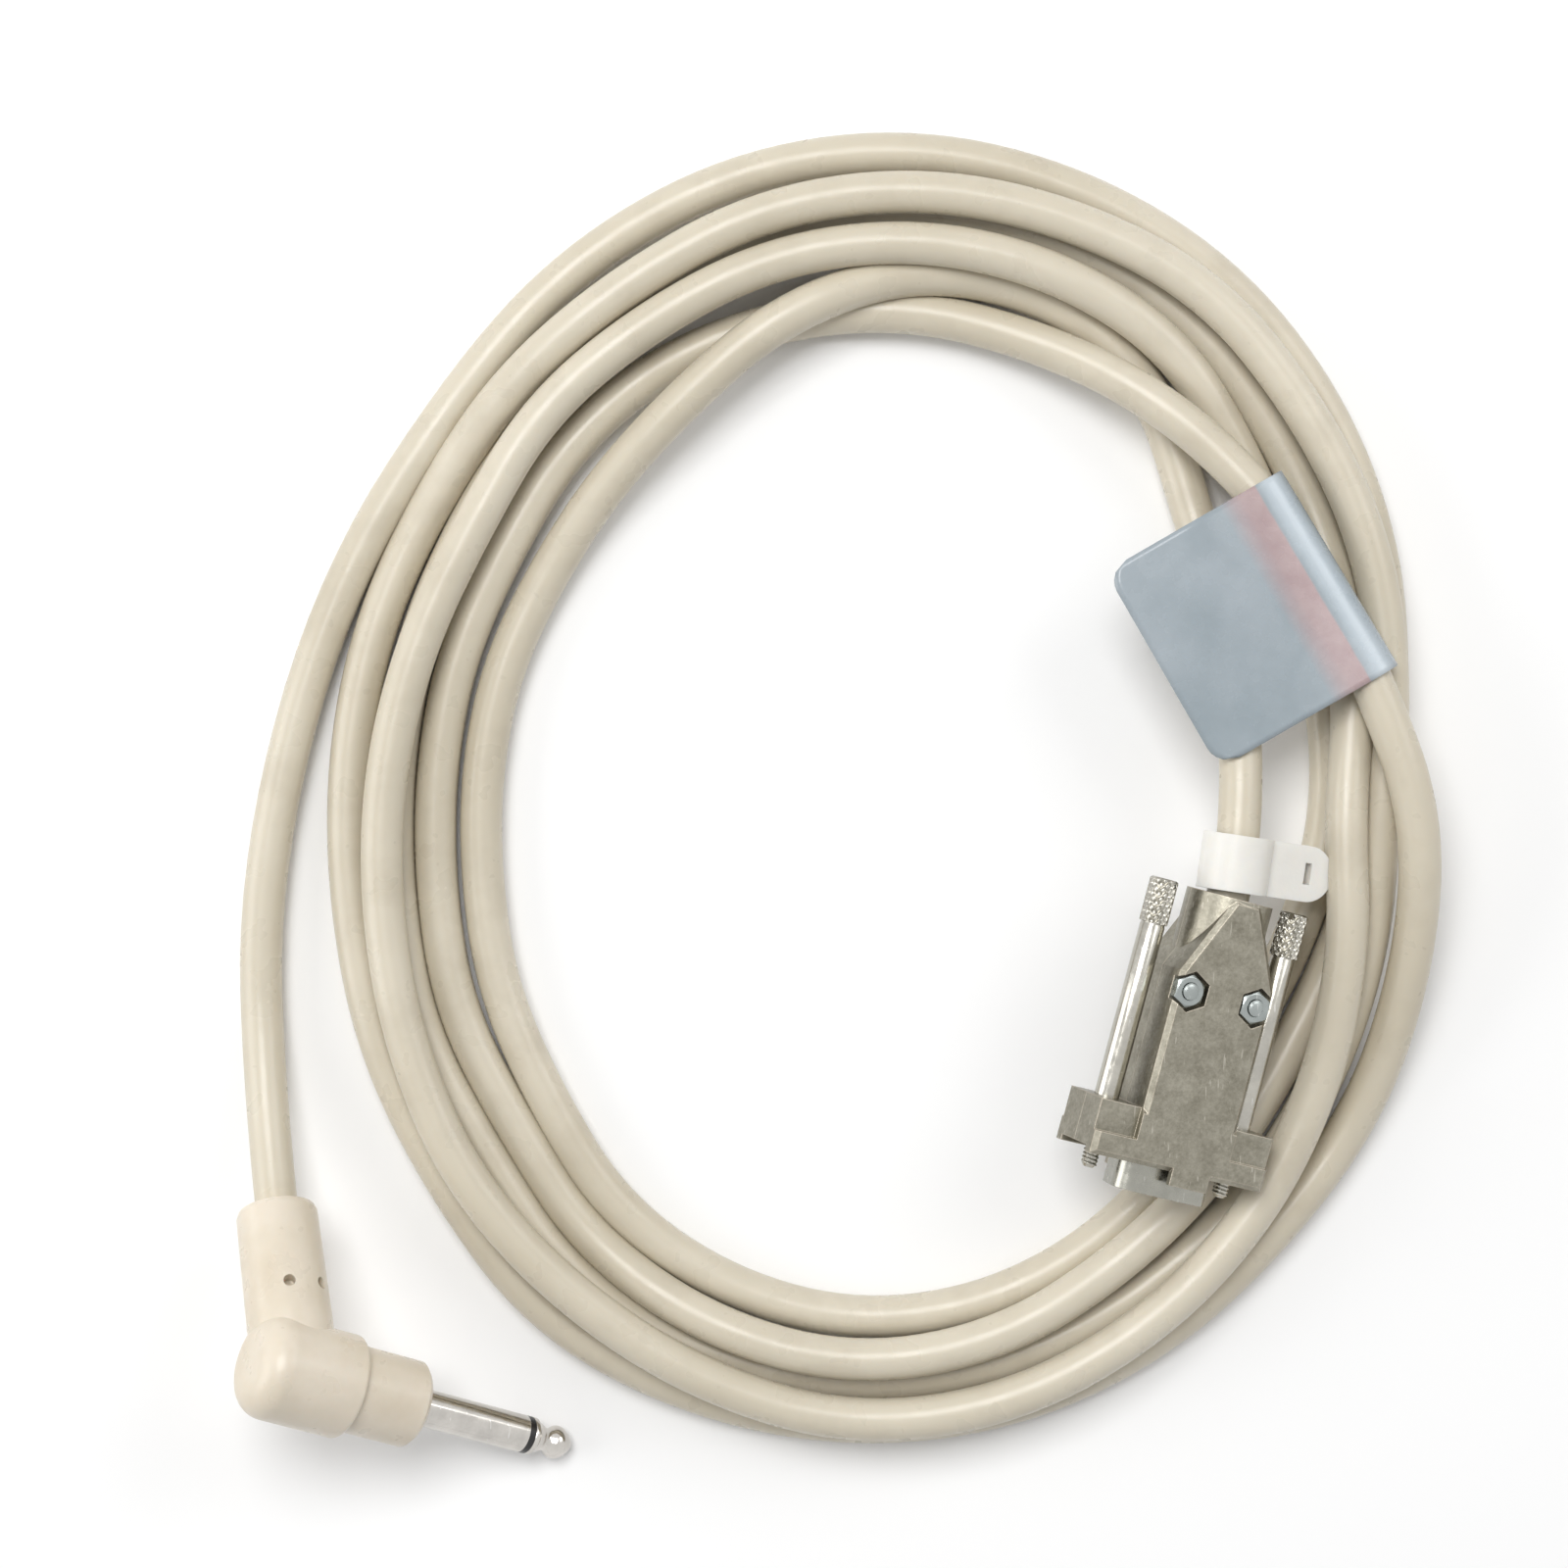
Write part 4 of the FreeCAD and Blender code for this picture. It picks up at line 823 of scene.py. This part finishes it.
def seen_directly(finish):
    """1 for what the camera, a mirror or glass sees, 0 for light that falls on things."""
    path = finish.node("ShaderNodeLightPath").outputs
    mirrored = finish.sums("MAXIMUM", path["Is Glossy Ray"], path["Is Transmission Ray"])
    return finish.sums("MAXIMUM", path["Is Camera Ray"], mirrored)


floor_mesh = bpy.data.meshes.new("floor")
floor_mesh.from_pydata([(-3, -3, 0), (3, -3, 0), (3, 3, 0), (-3, 3, 0)], [], [(0, 1, 2, 3)])
floor = add("floor", floor_mesh)
floor_finish = Finish("floor", srgb(250, 250, 250), 0.75)
floor_finish.set("Specular IOR Level", 0.2)
reach = floor_finish.node("ShaderNodeVectorMath", operation="LENGTH")
floor_finish.join(floor_finish.place, reach.inputs[0])
far = floor_finish.ramp(reach.outputs["Value"], (0.22, 0.0), (0.75, 1.0))
glow = floor_finish.node("ShaderNodeEmission")
blend = floor_finish.node("ShaderNodeMixShader")
floor_finish.join(floor_finish.sums("MULTIPLY", far, seen_directly(floor_finish)), blend.inputs[0])
floor_finish.join(floor_finish.shader.outputs[0], blend.inputs[1])
floor_finish.join(glow.outputs[0], blend.inputs[2])
ends = floor_finish.tree.nodes["Material Output"]
floor_finish.join(blend.outputs[0], ends.inputs["Surface"])
floor.data.materials.append(floor_finish.material)


def lamp(name, place, aim, size, energy):
    """A square soft light at a place, turned to a point."""
    data = bpy.data.lights.new(name, "AREA")
    data.shape = "SQUARE"
    data.size = size
    data.energy = energy
    light = bpy.data.objects.new(name, data)
    bpy.context.scene.collection.objects.link(light)
    light.location = place
    direction = Vector(aim) - Vector(place)
    light.rotation_euler = direction.to_track_quat("-Z", "Y").to_euler()


lamp("overhead", (-0.20, 0.50, 1.15), (0.0, 0.05, 0.0), 0.60, 9.0)
lamp("left", (-1.10, 0.10, 0.50), (0.0, 0.05, 0.0), 0.8, 5.0)
lamp("right", (0.88, 0.58, 0.78), (0.09, 0.09, 0.0), 0.7, 3.4)

world = bpy.data.worlds.new("studio")
bpy.context.scene.world = world
world.use_nodes = True
sky = world.node_tree.nodes
links = world.node_tree.links
path = sky.new("ShaderNodeLightPath").outputs
mirrored = sky.new("ShaderNodeMath")
direct = sky.new("ShaderNodeMath")
mirrored.operation = "MAXIMUM"
direct.operation = "MAXIMUM"
links.new(path["Is Glossy Ray"], mirrored.inputs[0])
links.new(path["Is Transmission Ray"], mirrored.inputs[1])
links.new(path["Is Camera Ray"], direct.inputs[0])
links.new(mirrored.outputs[0], direct.inputs[1])
level = sky.new("ShaderNodeMapRange")
level.inputs["To Min"].default_value = 0.38
level.inputs["To Max"].default_value = 1.0
links.new(direct.outputs[0], level.inputs["Value"])
links.new(level.outputs[0], sky["Background"].inputs["Strength"])
sky["Background"].inputs["Color"].default_value = (1.0, 1.0, 1.0, 1.0)

bpy.context.scene.view_settings.view_transform = "Standard"

bpy.context.view_layer.update()
